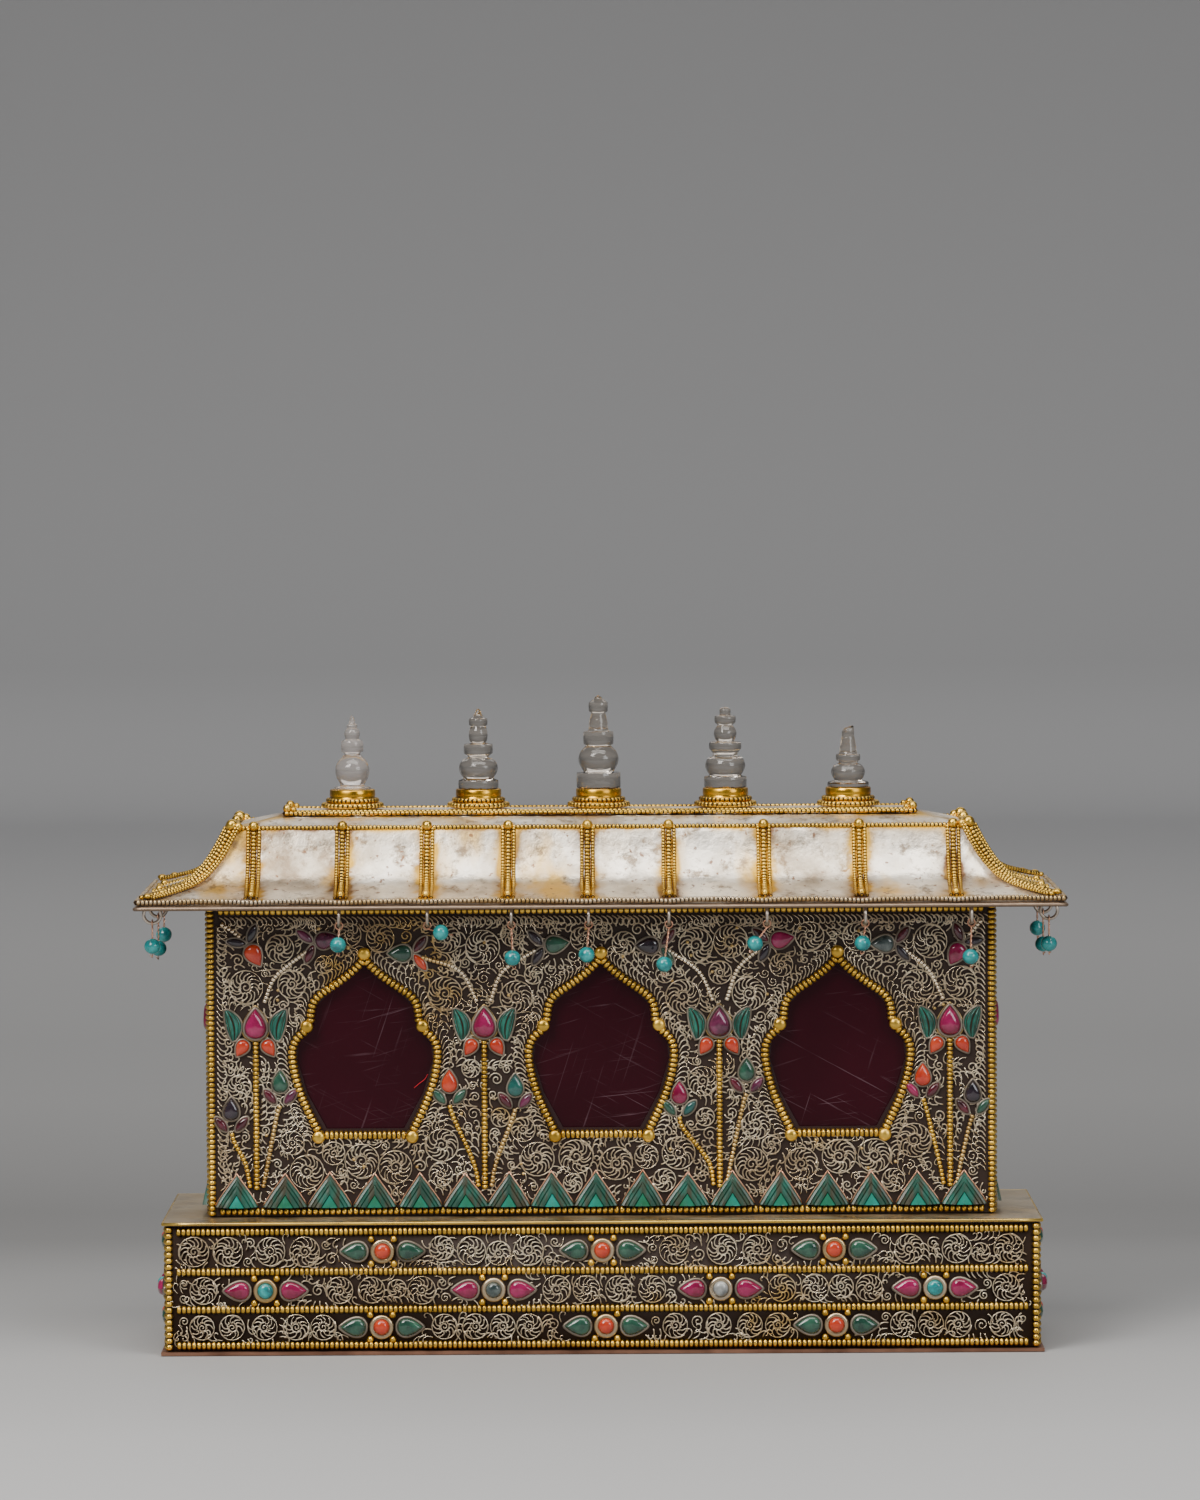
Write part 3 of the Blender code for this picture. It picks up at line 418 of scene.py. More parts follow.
def crystal_material(name, colour, through):
    """Rock crystal with a slightly uneven surface."""
    made = plain(name, colour, 0.0, 0.04)
    graph = Graph(made)
    shader_of(made).inputs["Transmission Weight"].default_value = through
    shader_of(made).inputs["IOR"].default_value = 1.54
    graph.bump(graph.noise(260.0, 3.0), 0.0005, 0.35)
    return made


# Metals: name, bright, middle and dark colour, roughness, patch scale, and the pointiness that hollows span;
# the dark colour is painted shade in the hollows
METALS = {
    "gilt": ("gilt_beading", (0.88, 0.56, 0.095), (0.46, 0.27, 0.035), (0.02, 0.009, 0.002),
             0.3, 55.0, (0.46, 0.53)),
    "pale_gilt": ("pale_gilt_beading", (0.78, 0.56, 0.24), (0.44, 0.28, 0.09), (0.03, 0.015, 0.006),
                  0.32, 55.0, (0.46, 0.53)),
    "bezel": ("bezel_silver", (0.36, 0.31, 0.25), (0.17, 0.14, 0.11), (0.03, 0.02, 0.015),
              0.4, 90.0, (0.40, 0.50)),
    "edge": ("worn_edge", (0.56, 0.45, 0.31), (0.46, 0.29, 0.09), (0.08, 0.045, 0.02),
             0.3, 30.0, (0.44, 0.54)),
    "ledge": ("ledge_metal", (0.52, 0.44, 0.33), (0.40, 0.31, 0.20), (0.24, 0.15, 0.08),
              0.42, 34.0, (0.3, 0.4)),
    "rim": ("gilt_rim", (0.90, 0.60, 0.12), (0.50, 0.34, 0.12), (0.20, 0.12, 0.04),
            0.3, 30.0, (0.3, 0.4)),
    "band": ("gilt_band", (0.80, 0.45, 0.04), (0.36, 0.17, 0.02), (0.25, 0.12, 0.02),
             0.26, 120.0, (0.3, 0.4)),
    "copper": ("copper_worn", (0.80, 0.45, 0.30), (0.52, 0.24, 0.14), (0.08, 0.03, 0.02),
               0.33, 70.0, (0.35, 0.45)),
    "ring": ("ring_silver", (0.62, 0.54, 0.46), (0.32, 0.26, 0.20), (0.05, 0.03, 0.02),
             0.32, 160.0, (0.40, 0.52)),
    "plate": ("plate_copper", (0.34, 0.18, 0.12), (0.18, 0.09, 0.06), (0.06, 0.03, 0.02),
              0.45, 60.0, (0.35, 0.45)),
}
# Stones: deep and light colour, roughness, cloud scale, share of light let through
STONES = {
    "ruby": ((0.17, 0.001, 0.030), (0.39, 0.013, 0.11), 0.1, 160.0, 0.1),
    "coral": ((0.40, 0.020, 0.005), (0.60, 0.060, 0.016), 0.2, 200.0),
    "green": ((0.008, 0.040, 0.026), (0.040, 0.140, 0.085), 0.12, 190.0, 0.1),
    "teal": ((0.004, 0.045, 0.045), (0.02, 0.15, 0.12), 0.15, 190.0),
    "garnet": ((0.022, 0.001, 0.003), (0.13, 0.006, 0.022), 0.1, 240.0, 0.1),
    "plum": ((0.05, 0.004, 0.022), (0.20, 0.03, 0.09), 0.12, 240.0, 0.1),
    "onyx": ((0.006, 0.005, 0.008), (0.035, 0.02, 0.03), 0.08, 240.0),
    "slate": ((0.02, 0.035, 0.035), (0.12, 0.15, 0.14), 0.15, 240.0),
    "moonstone": ((0.16, 0.17, 0.17), (0.45, 0.46, 0.44), 0.12, 240.0, 0.1),
    "leaf": ((0.003, 0.060, 0.044), (0.010, 0.19, 0.135), 0.28, 200.0),
    "lapis": ((0.003, 0.008, 0.07), (0.02, 0.05, 0.30), 0.15, 300.0),
    "petal": ((0.008, 0.11, 0.04), (0.013, 0.28, 0.235), 0.3, 40.0),
}
MATERIALS = {
    "wire": filigree_metal(),
    "sheet": sheet_metal(),
    "ground": plain("oxidised_ground", (0.024, 0.011, 0.006), 0.3, 0.6),
    # Painted shade: a near-black material on the faces between beads and in the leaf's carved grooves
    "painted_gap_shade": plain("painted_shade_between_beads", (0.035, 0.016, 0.006), 0.6, 0.6),
    "walls": plain("wall_dark", (0.022, 0.006, 0.006), 0.2, 0.5),
    "thread": plain("red_thread_fibre", (0.55, 0.01, 0.02), 0.0, 0.7),
    "turquoise": turquoise_material(),
    "petal_dark": petal_material(),
    "pane": pane_material(),
    "crystal": crystal_material("crystal_clear", (0.74, 0.68, 0.61), 1.0),
    "milky": crystal_material("crystal_milky", (0.86, 0.80, 0.76), 0.9),
}
MATERIALS.update((key, aged_metal(*values)) for key, values in METALS.items())
MATERIALS.update((key, stone_material("stone_" + key, *values)) for key, values in STONES.items())


def circle(count, start=0.0):
    """Evenly spaced angles of a full turn."""
    return math.tau * (np.arange(count) + start) / count


def polar(u, v, reach, turn):
    """Flat points at a distance and angle from (u, v)."""
    return np.column_stack([u + reach * np.cos(turn), v + reach * np.sin(turn)])


def spot_at(u, v, turn, reach):
    """The flat spot that lies at an angle and distance from (u, v)."""
    return u + reach * math.cos(turn), v + reach * math.sin(turn)


def distance_along(path):
    """How far each point of a path is from its start."""
    return np.concatenate([[0.0], np.cumsum(np.linalg.norm(np.diff(path, axis=0), axis=1))])


def unit(vectors):
    return vectors / np.maximum(np.linalg.norm(vectors, axis=1, keepdims=True), 1e-9)


def travel(path, closed=True):
    """The direction of a path at each of its points."""
    if closed:
        return unit(np.roll(path, -1, axis=0) - np.roll(path, 1, axis=0))
    return unit(np.gradient(path, axis=0))


def walk(path, reach, distance):
    """The place at a distance along a path, or the places at several."""
    return np.stack([np.interp(distance, reach, path[:, k]) for k in range(path.shape[1])], axis=-1)


def lift(points, w):
    """Give flat points a height."""
    points = np.asarray(points, float)
    return np.column_stack([points, np.full(len(points), w)])


# Places and sizes along one bead, from its waist on; small beads have one place fewer
BEAD = ((0.13, 0.84), (0.5, 1.0), (0.87, 0.84))
SMALL_BEAD = ((0.13, 0.96), (0.87, 0.96))
SMALL_BEAD_RADIUS = 0.78
SMALL_BEAD_WAIST = 0.1
BEAD_JITTER = 0.05


class Piece:
    """Quads and triangles of one object, with a material for each face."""

    def __init__(self, name, slot, place=None, replaces=(), bead_sides=8, steps=9):
        self.name = name
        self.slot = slot
        self.place = np.eye(4) if place is None else place
        self.nodes = replaces
        self.bead_sides = bead_sides
        self.steps = steps
        self.points = []
        self.quads = []
        self.tris = []
        self.quad_looks = []
        self.tri_looks = []
        self.looks = []
        self.count = 0

    def look(self, name):
        if name not in self.looks:
            self.looks.append(name)
        return self.looks.index(name)

    def add(self, points, quads, tris, look):
        points = np.asarray(points, float).reshape(-1, 3)
        index = self.look(look)
        self.points.append(points @ self.place[:3, :3].T + self.place[:3, 3])
        if len(quads):
            quads = np.asarray(quads, int).reshape(-1, 4) + self.count
            self.quads.append(quads)
            self.quad_looks.append(np.full(len(quads), index))
        if len(tris):
            tris = np.asarray(tris, int).reshape(-1, 3) + self.count
            self.tris.append(tris)
            self.tri_looks.append(np.full(len(tris), index))
        self.count += len(points)

    def rings(self, rows, look, closed=False, caps=True, gap="", period=4):
        """Join rows of points of equal count, each row a closed loop; gap is the look of the painted shade
        between two beads.
        """
        rows = np.asarray(rows, float)
        turns, sides = rows.shape[:2]
        step = np.arange(sides)
        after = (step + 1) % sides
        quads = []
        for row in range(turns if closed else turns - 1):
            low = row * sides
            high = ((row + 1) % turns) * sides
            quads.append(np.stack([low + step, low + after, high + after, high + step], axis=1))
        tris = []
        if caps and not closed:
            last = (turns - 1) * sides
            for k in range(1, sides - 1):
                tris.append((0, k + 1, k))
                tris.append((last, last + k, last + k + 1))
        self.add(rows.reshape(-1, 3), np.concatenate(quads), tris, look)
        if gap:
            row = np.repeat(np.arange(len(quads)), sides)
            between = np.isin(row % period, (0, period - 1))
            self.quad_looks[-1] = np.where(between, self.look(gap), self.quad_looks[-1])

    def tube(self, path, radius, sides=6, look="wire", up=(0, 0, 1), closed=False, flat=1.0,
             gap="", period=4):
        """A round wire along a path; radius may differ at each point."""
        path = np.asarray(path, float)
        ahead = travel(path, closed)
        side = unit(np.cross(np.asarray(up, float), ahead))
        over = np.cross(ahead, side)
        radius = np.broadcast_to(np.asarray(radius, float), (len(path),))[:, None, None]
        turn = circle(sides, 0.5) - math.pi / 2
        offset = (side[:, None, :] * np.cos(turn)[None, :, None]
                  + over[:, None, :] * np.sin(turn)[None, :, None] * flat)
        self.rings(path[:, None, :] + offset * radius, look, closed, gap=gap, period=period)

    def beads(self, path, radius, pitch, look="gilt", sides=8, closed=False, up=(0, 0, 1), waist=0.38):
        """A beaded wire along a path, with painted shade between its beads."""
        sides = min(sides, self.bead_sides)
        path = np.asarray(path, float)
        if closed:
            path = np.vstack([path, path[:1]])
        reach = distance_along(path)
        count = max(1, round(reach[-1] / pitch))
        rows = ((0.0, waist), *BEAD)
        if radius < SMALL_BEAD_RADIUS:
            rows = ((0.0, waist + SMALL_BEAD_WAIST), *SMALL_BEAD)
        shares, sizes = np.array(rows).T
        stations = ((np.arange(count)[:, None] + shares) / count).ravel()
        sizes = np.tile(sizes, count)
        if not closed:
            stations = np.append(stations, 1.0)
            sizes = np.append(sizes, waist)
        spots = walk(path, reach, stations * reach[-1])
        jitter = np.array([1.0 + BEAD_JITTER * (rng.random() - 0.5) for _ in range(len(sizes))])
        # The faces at each bead's waist take the painted shade material, as shade between the beads
        self.tube(spots, radius * sizes * jitter, sides, look, up, closed, gap="painted_gap_shade", period=len(rows))

    def ball(self, centre, radius, look="gilt", sides=12, rows=7, flat=1.0):
        rings = []
        for row in range(rows):
            rise = -math.pi / 2 + math.pi * (row + 0.5) / rows
            ring = polar(centre[0], centre[1], radius * math.cos(rise), circle(sides))
            rings.append(lift(ring, centre[2] + radius * flat * math.sin(rise)))
        self.rings(rings, look)

    def build(self, smooth=True):
        points = np.concatenate(self.points) * MM
        quads = np.concatenate(self.quads) if self.quads else np.zeros((0, 4), int)
        tris = np.concatenate(self.tris) if self.tris else np.zeros((0, 3), int)
        looks = np.concatenate(self.quad_looks + self.tri_looks)
        mesh = bpy.data.meshes.new(self.name)
        mesh.vertices.add(len(points))
        mesh.vertices.foreach_set("co", points.ravel())
        loops = np.concatenate([quads.ravel(), tris.ravel()])
        mesh.loops.add(len(loops))
        mesh.loops.foreach_set("vertex_index", loops)
        sizes = np.concatenate([np.full(len(quads), 4), np.full(len(tris), 3)])
        mesh.polygons.add(len(sizes))
        mesh.polygons.foreach_set("loop_start", np.concatenate([[0], np.cumsum(sizes)[:-1]]))
        mesh.polygons.foreach_set("loop_total", sizes)
        for name in self.looks:
            mesh.materials.append(MATERIALS[name])
        mesh.polygons.foreach_set("material_index", looks)
        mesh.polygons.foreach_set("use_smooth", np.full(len(sizes), smooth))
        mesh.update(calc_edges=True)
        mesh.validate()
        made = bpy.data.objects.new(self.name, mesh)
        bpy.context.scene.collection.objects.link(made)
        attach(made, "root")
        if self.nodes:
            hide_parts(*self.nodes)
        return made


def panel_place(side, offset, foot):
    """Matrix that carries (u, v, w) to the world for a panel that faces front, right, back or left."""
    turn = math.radians({"front": 0, "right": 90, "back": 180, "left": 270}[side])
    basis = np.array(((1, 0, 0, 0), (0, 0, -1, -offset), (0, 1, 0, foot), (0, 0, 0, 1)), float)
    spin = np.eye(4)
    spin[:2, :2] = ((math.cos(turn), -math.sin(turn)), (math.sin(turn), math.cos(turn)))
    return spin @ basis


def skin(side, width, depth, foot):
    """Half width and place of the panel on one side of a box of that width and depth."""
    wide = side in ("front", "back")
    half = width / 2 - BAR_RISE if wide else depth / 2 - BAR_RISE - SKIN - GAP
    return half, panel_place(side, (depth if wide else width) / 2 - BAR_RISE, foot)


def build_all(*pieces):
    for piece in pieces:
        piece.build()


def smooth_line(points, steps):
    """A smooth line through a few points."""
    points = np.asarray(points, float)
    ends = np.vstack([2 * points[0] - points[1], points, 2 * points[-1] - points[-2]])
    line = []
    for k in range(1, len(ends) - 2):
        before, here, after, beyond = ends[k - 1: k + 3]
        for t in np.arange(steps) / steps:
            line.append(0.5 * (2 * here + (after - before) * t
                               + (2 * before - 5 * here + 4 * after - beyond) * t * t
                               + (3 * here - before - 3 * after + beyond) * t ** 3))
    line.append(points[-1])
    return np.array(line)


def grown(line, distance):
    """A closed line grown outward."""
    ahead = travel(line)
    return line + np.column_stack([ahead[:, 1], -ahead[:, 0]]) * distance


def window_line(centre, grow=0.0):
    """The window frame's centre line, closed and anticlockwise, grown outward by a distance."""
    upper = smooth_line(WINDOW[WINDOW_SHOULDER:], 3)
    right = np.vstack([smooth_line(WINDOW[:WINDOW_SHOULDER + 1], 3)[:-1], upper])
    foot_u, foot_v = WINDOW[0]
    foot = [(u, foot_v) for u in np.linspace(-foot_u, foot_u, WINDOW_FOOT_POINTS + 2)[1:-1]]
    line = np.vstack([right, right[-2::-1] * (-1, 1), foot])
    return grown(line, grow) + (centre, 0.0)


# A pear's greatest width before it is scaled to its half width
PEAR_FULLNESS = 0.77


def outline_of(shape, half_l, half_w, count=24):
    """Points round a stone whose point looks along +x."""
    turn = circle(count)
    across = half_w * np.sin(turn)
    if shape == "pear":
        across = across * np.abs(np.sin(turn / 2)) / PEAR_FULLNESS
    if shape == "marquise":
        across = across * np.abs(np.sin(turn)) ** 0.5
    return np.column_stack([half_l * np.cos(turn), across])


def turned(points, degrees, u, v):
    turn = math.radians(degrees)
    spin = np.array(((math.cos(turn), math.sin(turn)), (-math.sin(turn), math.cos(turn))))
    return points @ spin + (u, v)


# Stones and bezels sink this far into the ground
UNDERSIDE = -0.2
# Stones: half length, half width and rise
LOTUS_PEAR = (5.3, 4.0, 3.2)
FOOT_PEAR = (3.3, 2.5, 2.0)
SPRAY_PEAR = (4.1, 3.1, 2.0)
BUD_PEAR = (4.0, 2.9, 2.0)
SIDE_PEAR = (4.0, 3.0, 2.0)
MARQUISE = (3.5, 1.75, 1.5)
BUD_MARQUISE = (3.3, 1.75, 1.5)
# Rows of a cabochon, as shares of its size and rise
DOME = ((1.0, 0.0), (1.0, 0.42), (0.93, 0.68), (0.76, 0.87), (0.5, 0.97), (0.2, 1.0))


def gem(metal, stones, shape, u, v, degrees, size, look, bezel="bezel", collar=0.55):
    """A cabochon with a strip bezel round it."""
    half_l, half_w, rise = size
    core = outline_of(shape, half_l - collar, half_w - collar)
    middle = np.array((-0.22 * half_l if shape == "pear" else 0.0, 0.0))
    stones.rings([lift(turned((core - middle) * share + middle, degrees, u, v), rise * w)
                  for share, w in DOME], look)
    wall = ((collar, UNDERSIDE), (collar, rise * 0.32), (collar * 0.72, rise * 0.5), (0.1, rise * 0.52),
            (-0.1, rise * 0.4))
    metal.rings([lift(turned(grown(core, distance), degrees, u, v), w)
                 for distance, w in wall], bezel, caps=False)


LEAF_LENGTH = 10.0
LEAF_HALF_WIDTH = 2.5
LEAF_HEIGHT = 1.35
LEAF_BEND = 4.8
LEAF_ROWS = 13
LEAF_COLUMNS = 19
# Columns of faces that lie in the carved grooves, coloured with painted shade
LEAF_GROOVES = (2, 8, 9, 15)


def leaf(metal, stones, u, v, degrees, bend):
    """A carved, curved leaf with painted shade in the grooves along it and a bezel round it."""
    rows = []
    right = []
    left = []
    for along in np.linspace(0.0, 1.0, LEAF_ROWS):
        half = LEAF_HALF_WIDTH * math.sin(math.pi * min(1.0, along * 0.92 + 0.05)) ** 0.7
        middle = np.array((LEAF_LENGTH * (along - 0.5), bend * LEAF_BEND * (along - 0.5) ** 2))
        row = []
        for across in np.linspace(-1.0, 1.0, LEAF_COLUMNS):
            taper = min(1.0, 3.5 * along + 0.2, 3.5 * (1 - along) + 0.2)
            height = LEAF_HEIGHT * (1 - across ** 2) ** 0.5 * taper
            height *= 1.0 - 0.42 * (0.5 + 0.5 * math.cos(across * 9.4))
            row.append((*turned(middle + (0.0, across * half * 0.86), degrees, u, v), 0.35 + height))
        rows.append(row)
        right.append(middle + (0.0, half))
        left.append(middle - (0.0, half))
    corner = np.arange(LEAF_ROWS * LEAF_COLUMNS).reshape(LEAF_ROWS, LEAF_COLUMNS)
    quads = np.stack([corner[:-1, :-1], corner[1:, :-1], corner[1:, 1:], corner[:-1, 1:]], axis=-1)
    grooved = np.isin(np.arange(LEAF_COLUMNS - 1), LEAF_GROOVES)
    # The groove faces get the painted shade material, the rest the leaf's stone
    for chosen, look in ((~grooved, "leaf"), (grooved, "painted_gap_shade")):
        stones.add(rows, quads[:, chosen].reshape(-1, 4), [], look)
    border = turned(np.array(right + left[::-1]), degrees, u, v)
    metal.tube(lift(border, 0.45), 0.38, 5, "bezel", closed=True, flat=1.6)


# Layers of a petal from its heart out: share of its size, how deep it is carved, and its stone
PETAL_LAYERS = ((0.02, 0.0, "petal"), (0.18, 0.1, "petal"), (0.34, 0.05, "petal"),
                (0.37, -0.55, "petal_dark"), (0.41, 0.02, "petal_dark"), (0.52, 0.1, "petal_dark"),
                (0.63, 0.0, "petal_dark"), (0.66, -0.42, "petal_dark"), (0.70, 0.0, "petal_dark"),
                (0.80, -0.05, "petal_dark"), (0.83, -0.42, "petal_dark"), (0.87, -0.1, "petal_dark"),
                (0.97, -0.35, "petal_dark"), (1.0, -1.0, "petal_dark"))
PETAL_EDGE = 0.55


def join(piece, low, high, look):
    """Faces between two rows of points."""
    count = len(low)
    quads = [(count + k, count + k + 1, k + 1, k) for k in range(count - 1)]
    piece.add(low + high, quads, [], look)


def petal(metal, stones, u):
    """A carved green triangle: grooves that follow its sides and a bright heart at the foot."""
    lean = rng.uniform(-0.4, 0.4)
    wide = PETAL_WIDTH / 2 * rng.uniform(1.02, 1.1)
    tall = PETAL_HEIGHT * rng.uniform(0.94, 1.02)
    rows = []
    for share, carve, _ in PETAL_LAYERS:
        row = []
        for across in np.linspace(-1.0, 1.0, 15):
            up = share * (1 - abs(across))
            side = share * across * (1 + 0.06 * math.sin(math.pi * min(1.0, up * 1.1)))
            w = PETAL_EDGE + (PETAL_RISE - 0.75) * (1 - up) ** 0.8 + carve * (0.45 + 0.55 * (1 - up))
            v = PETAL_FOOT + 0.35 * (abs(across) * share) ** 2 + tall * up
            row.append((u + side * wide + lean * up, v, max(0.1, w + rng.uniform(-0.05, 0.05))))
        rows.append(row)
    for (_, _, look), inner, outer in zip(PETAL_LAYERS, rows, rows[1:]):
        join(stones, inner, outer, look)
    rim = rows[-1]
    join(stones, [(*point[:2], UNDERSIDE) for point in rim], rim, "petal_dark")
    base = [row[0] for row in rows[::-1]] + [row[-1] for row in rows]
    join(stones, base, [(*point[:2], UNDERSIDE) for point in base], "petal_dark")
    edge = np.array([(*point[:2], PETAL_EDGE) for point in rim]) + (0.0, 0.28, 0.0)
    metal.tube(edge, 0.27, 4, "copper", flat=1.6)


WIRE = 0.235
CURL_STEP = 0.42
SIZES = (5.4, 4.6, 3.8, 3.0, 2.3, 1.7)
TRIES = (5000, 3500, 3500, 3000, 2500, 2000)
BACK_TRIES = (2500, 1200, 1000, 800, 800, 800)
PLINTH_TRIES = (900, 900, 900, 900, 1400)
# Distance between the commas that fill what the scrolls leave, close where the photo shows it
CLOSE = 1.8
WIDE = 3.6
# Scrolls up to these radii are a comma or a spiral, and larger ones a rosette
COMMA_RADIUS = 1.15
SPIRAL_RADIUS = 2.7
# Least room round a scroll, as a share of its radius, and round a comma, and how commas are set out
SCROLL_ROOM = 0.88
COMMA_ROOM = 0.25
COMMA_JITTER = 0.3
COMMA_BACK = 0.8
COMMA_SIZE = 2.5
# Steps of one curl
FINE_STEPS = 9
SIDE_STEPS = 8
BACK_STEPS = 5


def wire(piece, line, w=0.3, flat=1.8):
    """One filigree wire, a triangle in section."""
    piece.tube(lift(line, w), WIRE, 3, flat=flat)


def spiral(u, v, radius, turns, start, hand, inner, step=CURL_STEP):
    """Points of a flat spiral from its rim inward."""
    count = max(6, int(turns * math.tau * radius * 0.62 / max(step * radius ** 0.5, 0.3)))
    share = np.linspace(0.0, 1.0, count)
    reach = radius * (1 - (1 - inner) * share ** 0.85)
    return polar(u, v, reach, start + hand * turns * math.tau * share)


def scroll(piece, u, v, radius):
    """One filigree motif that fills a circle: a comma, a spiral, or a rosette when it is large."""
    start = rng.random() * math.tau
    hand = rng.choice((-1, 1))
    if radius < COMMA_RADIUS:
        wire(piece, spiral(u, v, radius, rng.uniform(0.7, 1.0), start, hand, 0.45))
    elif radius < SPIRAL_RADIUS:
        wire(piece, spiral(u, v, radius, 1.55, start, hand, 0.16))
    else:
        rosette(piece, u, v, radius, start, hand)


def rosette(piece, u, v, radius, start, hand):
    """A ring of wire with commas that lean inward round a small spiral."""
    step = CURL_STEP * FINE_STEPS / piece.steps
    wire(piece, spiral(u, v, radius, 1.15, start, hand, 0.93, step), 0.45, 2.0)
    curls = max(6, int(radius * (1.3 + piece.steps * 0.155)))
    for k in range(curls):
        turn = start + math.tau * (k + rng.uniform(-0.15, 0.15)) / curls
        reach = radius * rng.uniform(0.84, 0.92)
        curl(piece, *spot_at(u, v, turn, reach), turn + math.pi, radius * rng.uniform(0.4, 0.5), hand)
    wire(piece, spiral(u, v, radius * 0.42, 1.5, start, -hand, 0.15, step), 0.25, 1.4)


def curl(piece, u, v, heading, size, hand):
    """A comma of wire that sets off along a heading and rolls in."""
    share = np.arange(piece.steps) / piece.steps
    turn = heading + hand * (0.56 * share + 4.66 * share ** 2 - 0.9)
    pace = 2.09 * size / piece.steps * (1.267 - 0.557 * share)
    path = np.column_stack([np.cumsum(pace * np.cos(turn)), np.cumsum(pace * np.sin(turn))])
    wire(piece, np.vstack([(0.0, 0.0), path]) + (u, v))


def fern(piece, line, size, pitch, hand):
    """A row of small commas along a line, like the leaves of a fern."""
    line = np.asarray(line, float)
    reach = distance_along(line)
    for distance in np.arange(pitch / 2, reach[-1], pitch):
        u, v = walk(line, reach, distance)
        far_u, far_v = walk(line, reach, distance + 0.3)
        heading = math.atan2(far_v - v, far_u - u) + hand * 1.35
        curl(piece, u, v, heading, size * rng.uniform(0.85, 1.15), hand)


def room_at(discs, u, v):
    """The distance from a spot to the nearest blocked disc."""
    return (np.hypot(discs[:, 0] - u, discs[:, 1] - v) - discs[:, 2]).min()


def fill(piece, width, low, high, blocked, sizes, tries, pitch):
    """Pack motifs of falling size into a panel, clear of blocked discs given as rows of (u, v, r)."""
    discs = np.array(blocked, float)
    for radius, count in zip(sizes, tries):
        for _ in range(count):
            u = rng.uniform(-width + radius, width - radius)
            v = rng.uniform(low + radius, high - radius)
            if room_at(discs, u, v) >= radius * SCROLL_ROOM:
                scroll(piece, u, v, radius * rng.uniform(0.94, 1.0))
                discs = np.vstack([discs, (u, v, radius)])
    for v in np.arange(low + 0.6, high - 0.5, pitch):
        for u in np.arange(-width + 0.6, width - 0.5, pitch):
            spot = [place + rng.uniform(-COMMA_JITTER, COMMA_JITTER) for place in (u, v)]
            if room_at(discs, *spot) >= COMMA_ROOM:
                heading = 3.0 * math.sin(u * 0.09 + 1.0) + 2.5 * math.cos(v * 0.11) + rng.uniform(-0.25, 0.25)
                hand = 1 if math.sin(u * 0.23 + v * 0.19) > 0 else -1
                curl(piece, *spot_at(*spot, heading, -COMMA_BACK), heading, COMMA_SIZE, hand)


def line_discs(line, radius):
    return [(u, v, radius) for u, v in line]


def columns(piece, half, height, pitch, out):
    """The upright beaded bars at a panel's two ends."""
    for end in (-1, 1):
        u = end * (half - COLUMN_WIDTH / 2 + out)
        piece.beads([(u, 0.1, 0.0), (u, height - 0.1, 0.0)], COLUMN_WIDTH / 2 - 0.1, pitch)


def border(piece, half, height, out):
    """Beaded bars round a body panel."""
    inner = half - COLUMN_WIDTH
    for v in (BAR_HEIGHT / 2 + 0.1, height - BAR_HEIGHT / 2 - 0.1):
        piece.beads([(-inner, v, 0.1), (inner, v, 0.1)], BAR_HEIGHT / 2 - 0.1, 1.75)
    columns(piece, half, height, 1.57, out)


def sheet_panel(piece, half, height):
    """The dark ground that carries the wires."""
    rows = [[(-half, 0, w), (half, 0, w), (half, height, w), (-half, height, w)] for w in (-SKIN, 0.0)]
    piece.rings(rows, "ground")


def share_to(edge, centre, ray):
    """How far along a ray an edge lies, or very far when the ray looks away from it."""
    return (edge - centre) / ray if ray * (edge - centre) > 0 and abs(ray) > 1e-6 else 1e9


def windowed_ground(piece, half, height):
    """The front panel's ground with its three openings and their reveals."""
    edges = [-half, -WINDOW_SPACING * 0.5, WINDOW_SPACING * 0.5, half]
    for index, left, right in zip((-1, 0, 1), edges, edges[1:]):
        line = window_line(index * WINDOW_SPACING, -0.8)
        centre = line.mean(axis=0)
        outer = []
        for ray in line - centre:
            shares = [share_to(edge, centre[0], ray[0]) for edge in (left, right)]
            shares += [share_to(edge, centre[1], ray[1]) for edge in (0.0, height)]
            outer.append(centre + ray * min(shares))
        outer = np.array(outer)
        for corner in ((left, 0.0), (right, 0.0), (right, height), (left, height)):
            outer[np.argmin(np.hypot(*(outer - corner).T))] = corner
        rows = [lift(outer, -SKIN), lift(outer, 0.0), lift(line, 0.0), lift(line, -SKIN)]
        piece.rings(rows, "ground", closed=True)


def lotus(beads, metal, stones, stem, look):
    """A beaded stem with its flower: a pear between two leaves over two coral pears. Returns its discs."""
    beads.beads([(stem, STEM_FOOT, 0.5), (stem, LOTUS_FOOT, 0.5)], 1.05, 1.3, waist=0.45)
    gem(metal, stones, "pear", stem, LOTUS_V, 90, LOTUS_PEAR, look, collar=0.8)
    outline = grown(outline_of("pear", *LOTUS_PEAR[:2]), 0.1)
    metal.tube(lift(turned(outline, 90, stem, LOTUS_V), 0.25), 0.28, 4, "pale_gilt", closed=True)
    for side, degrees in ((-1, 104), (1, 76)):
        leaf(metal, stones, stem + side * 6.6, LOTUS_V - 0.3, degrees, -side)
    gem(metal, stones, "pear", stem - 4.3, 50.8, 238, FOOT_PEAR, "coral")
    gem(metal, stones, "pear", stem + 4.1, 50.9, 302, FOOT_PEAR, "coral")
    discs = [(stem, v, 0.9) for v in np.arange(STEM_FOOT, LOTUS_FOOT, 1.5)]
    return discs + [(stem, LOTUS_V, 4.4), (stem - 6.4, LOTUS_V, 3.2), (stem + 6.4, LOTUS_V, 3.2),
                    (stem - 4.2, 50.6, 2.9), (stem + 4.2, 50.6, 2.9)]


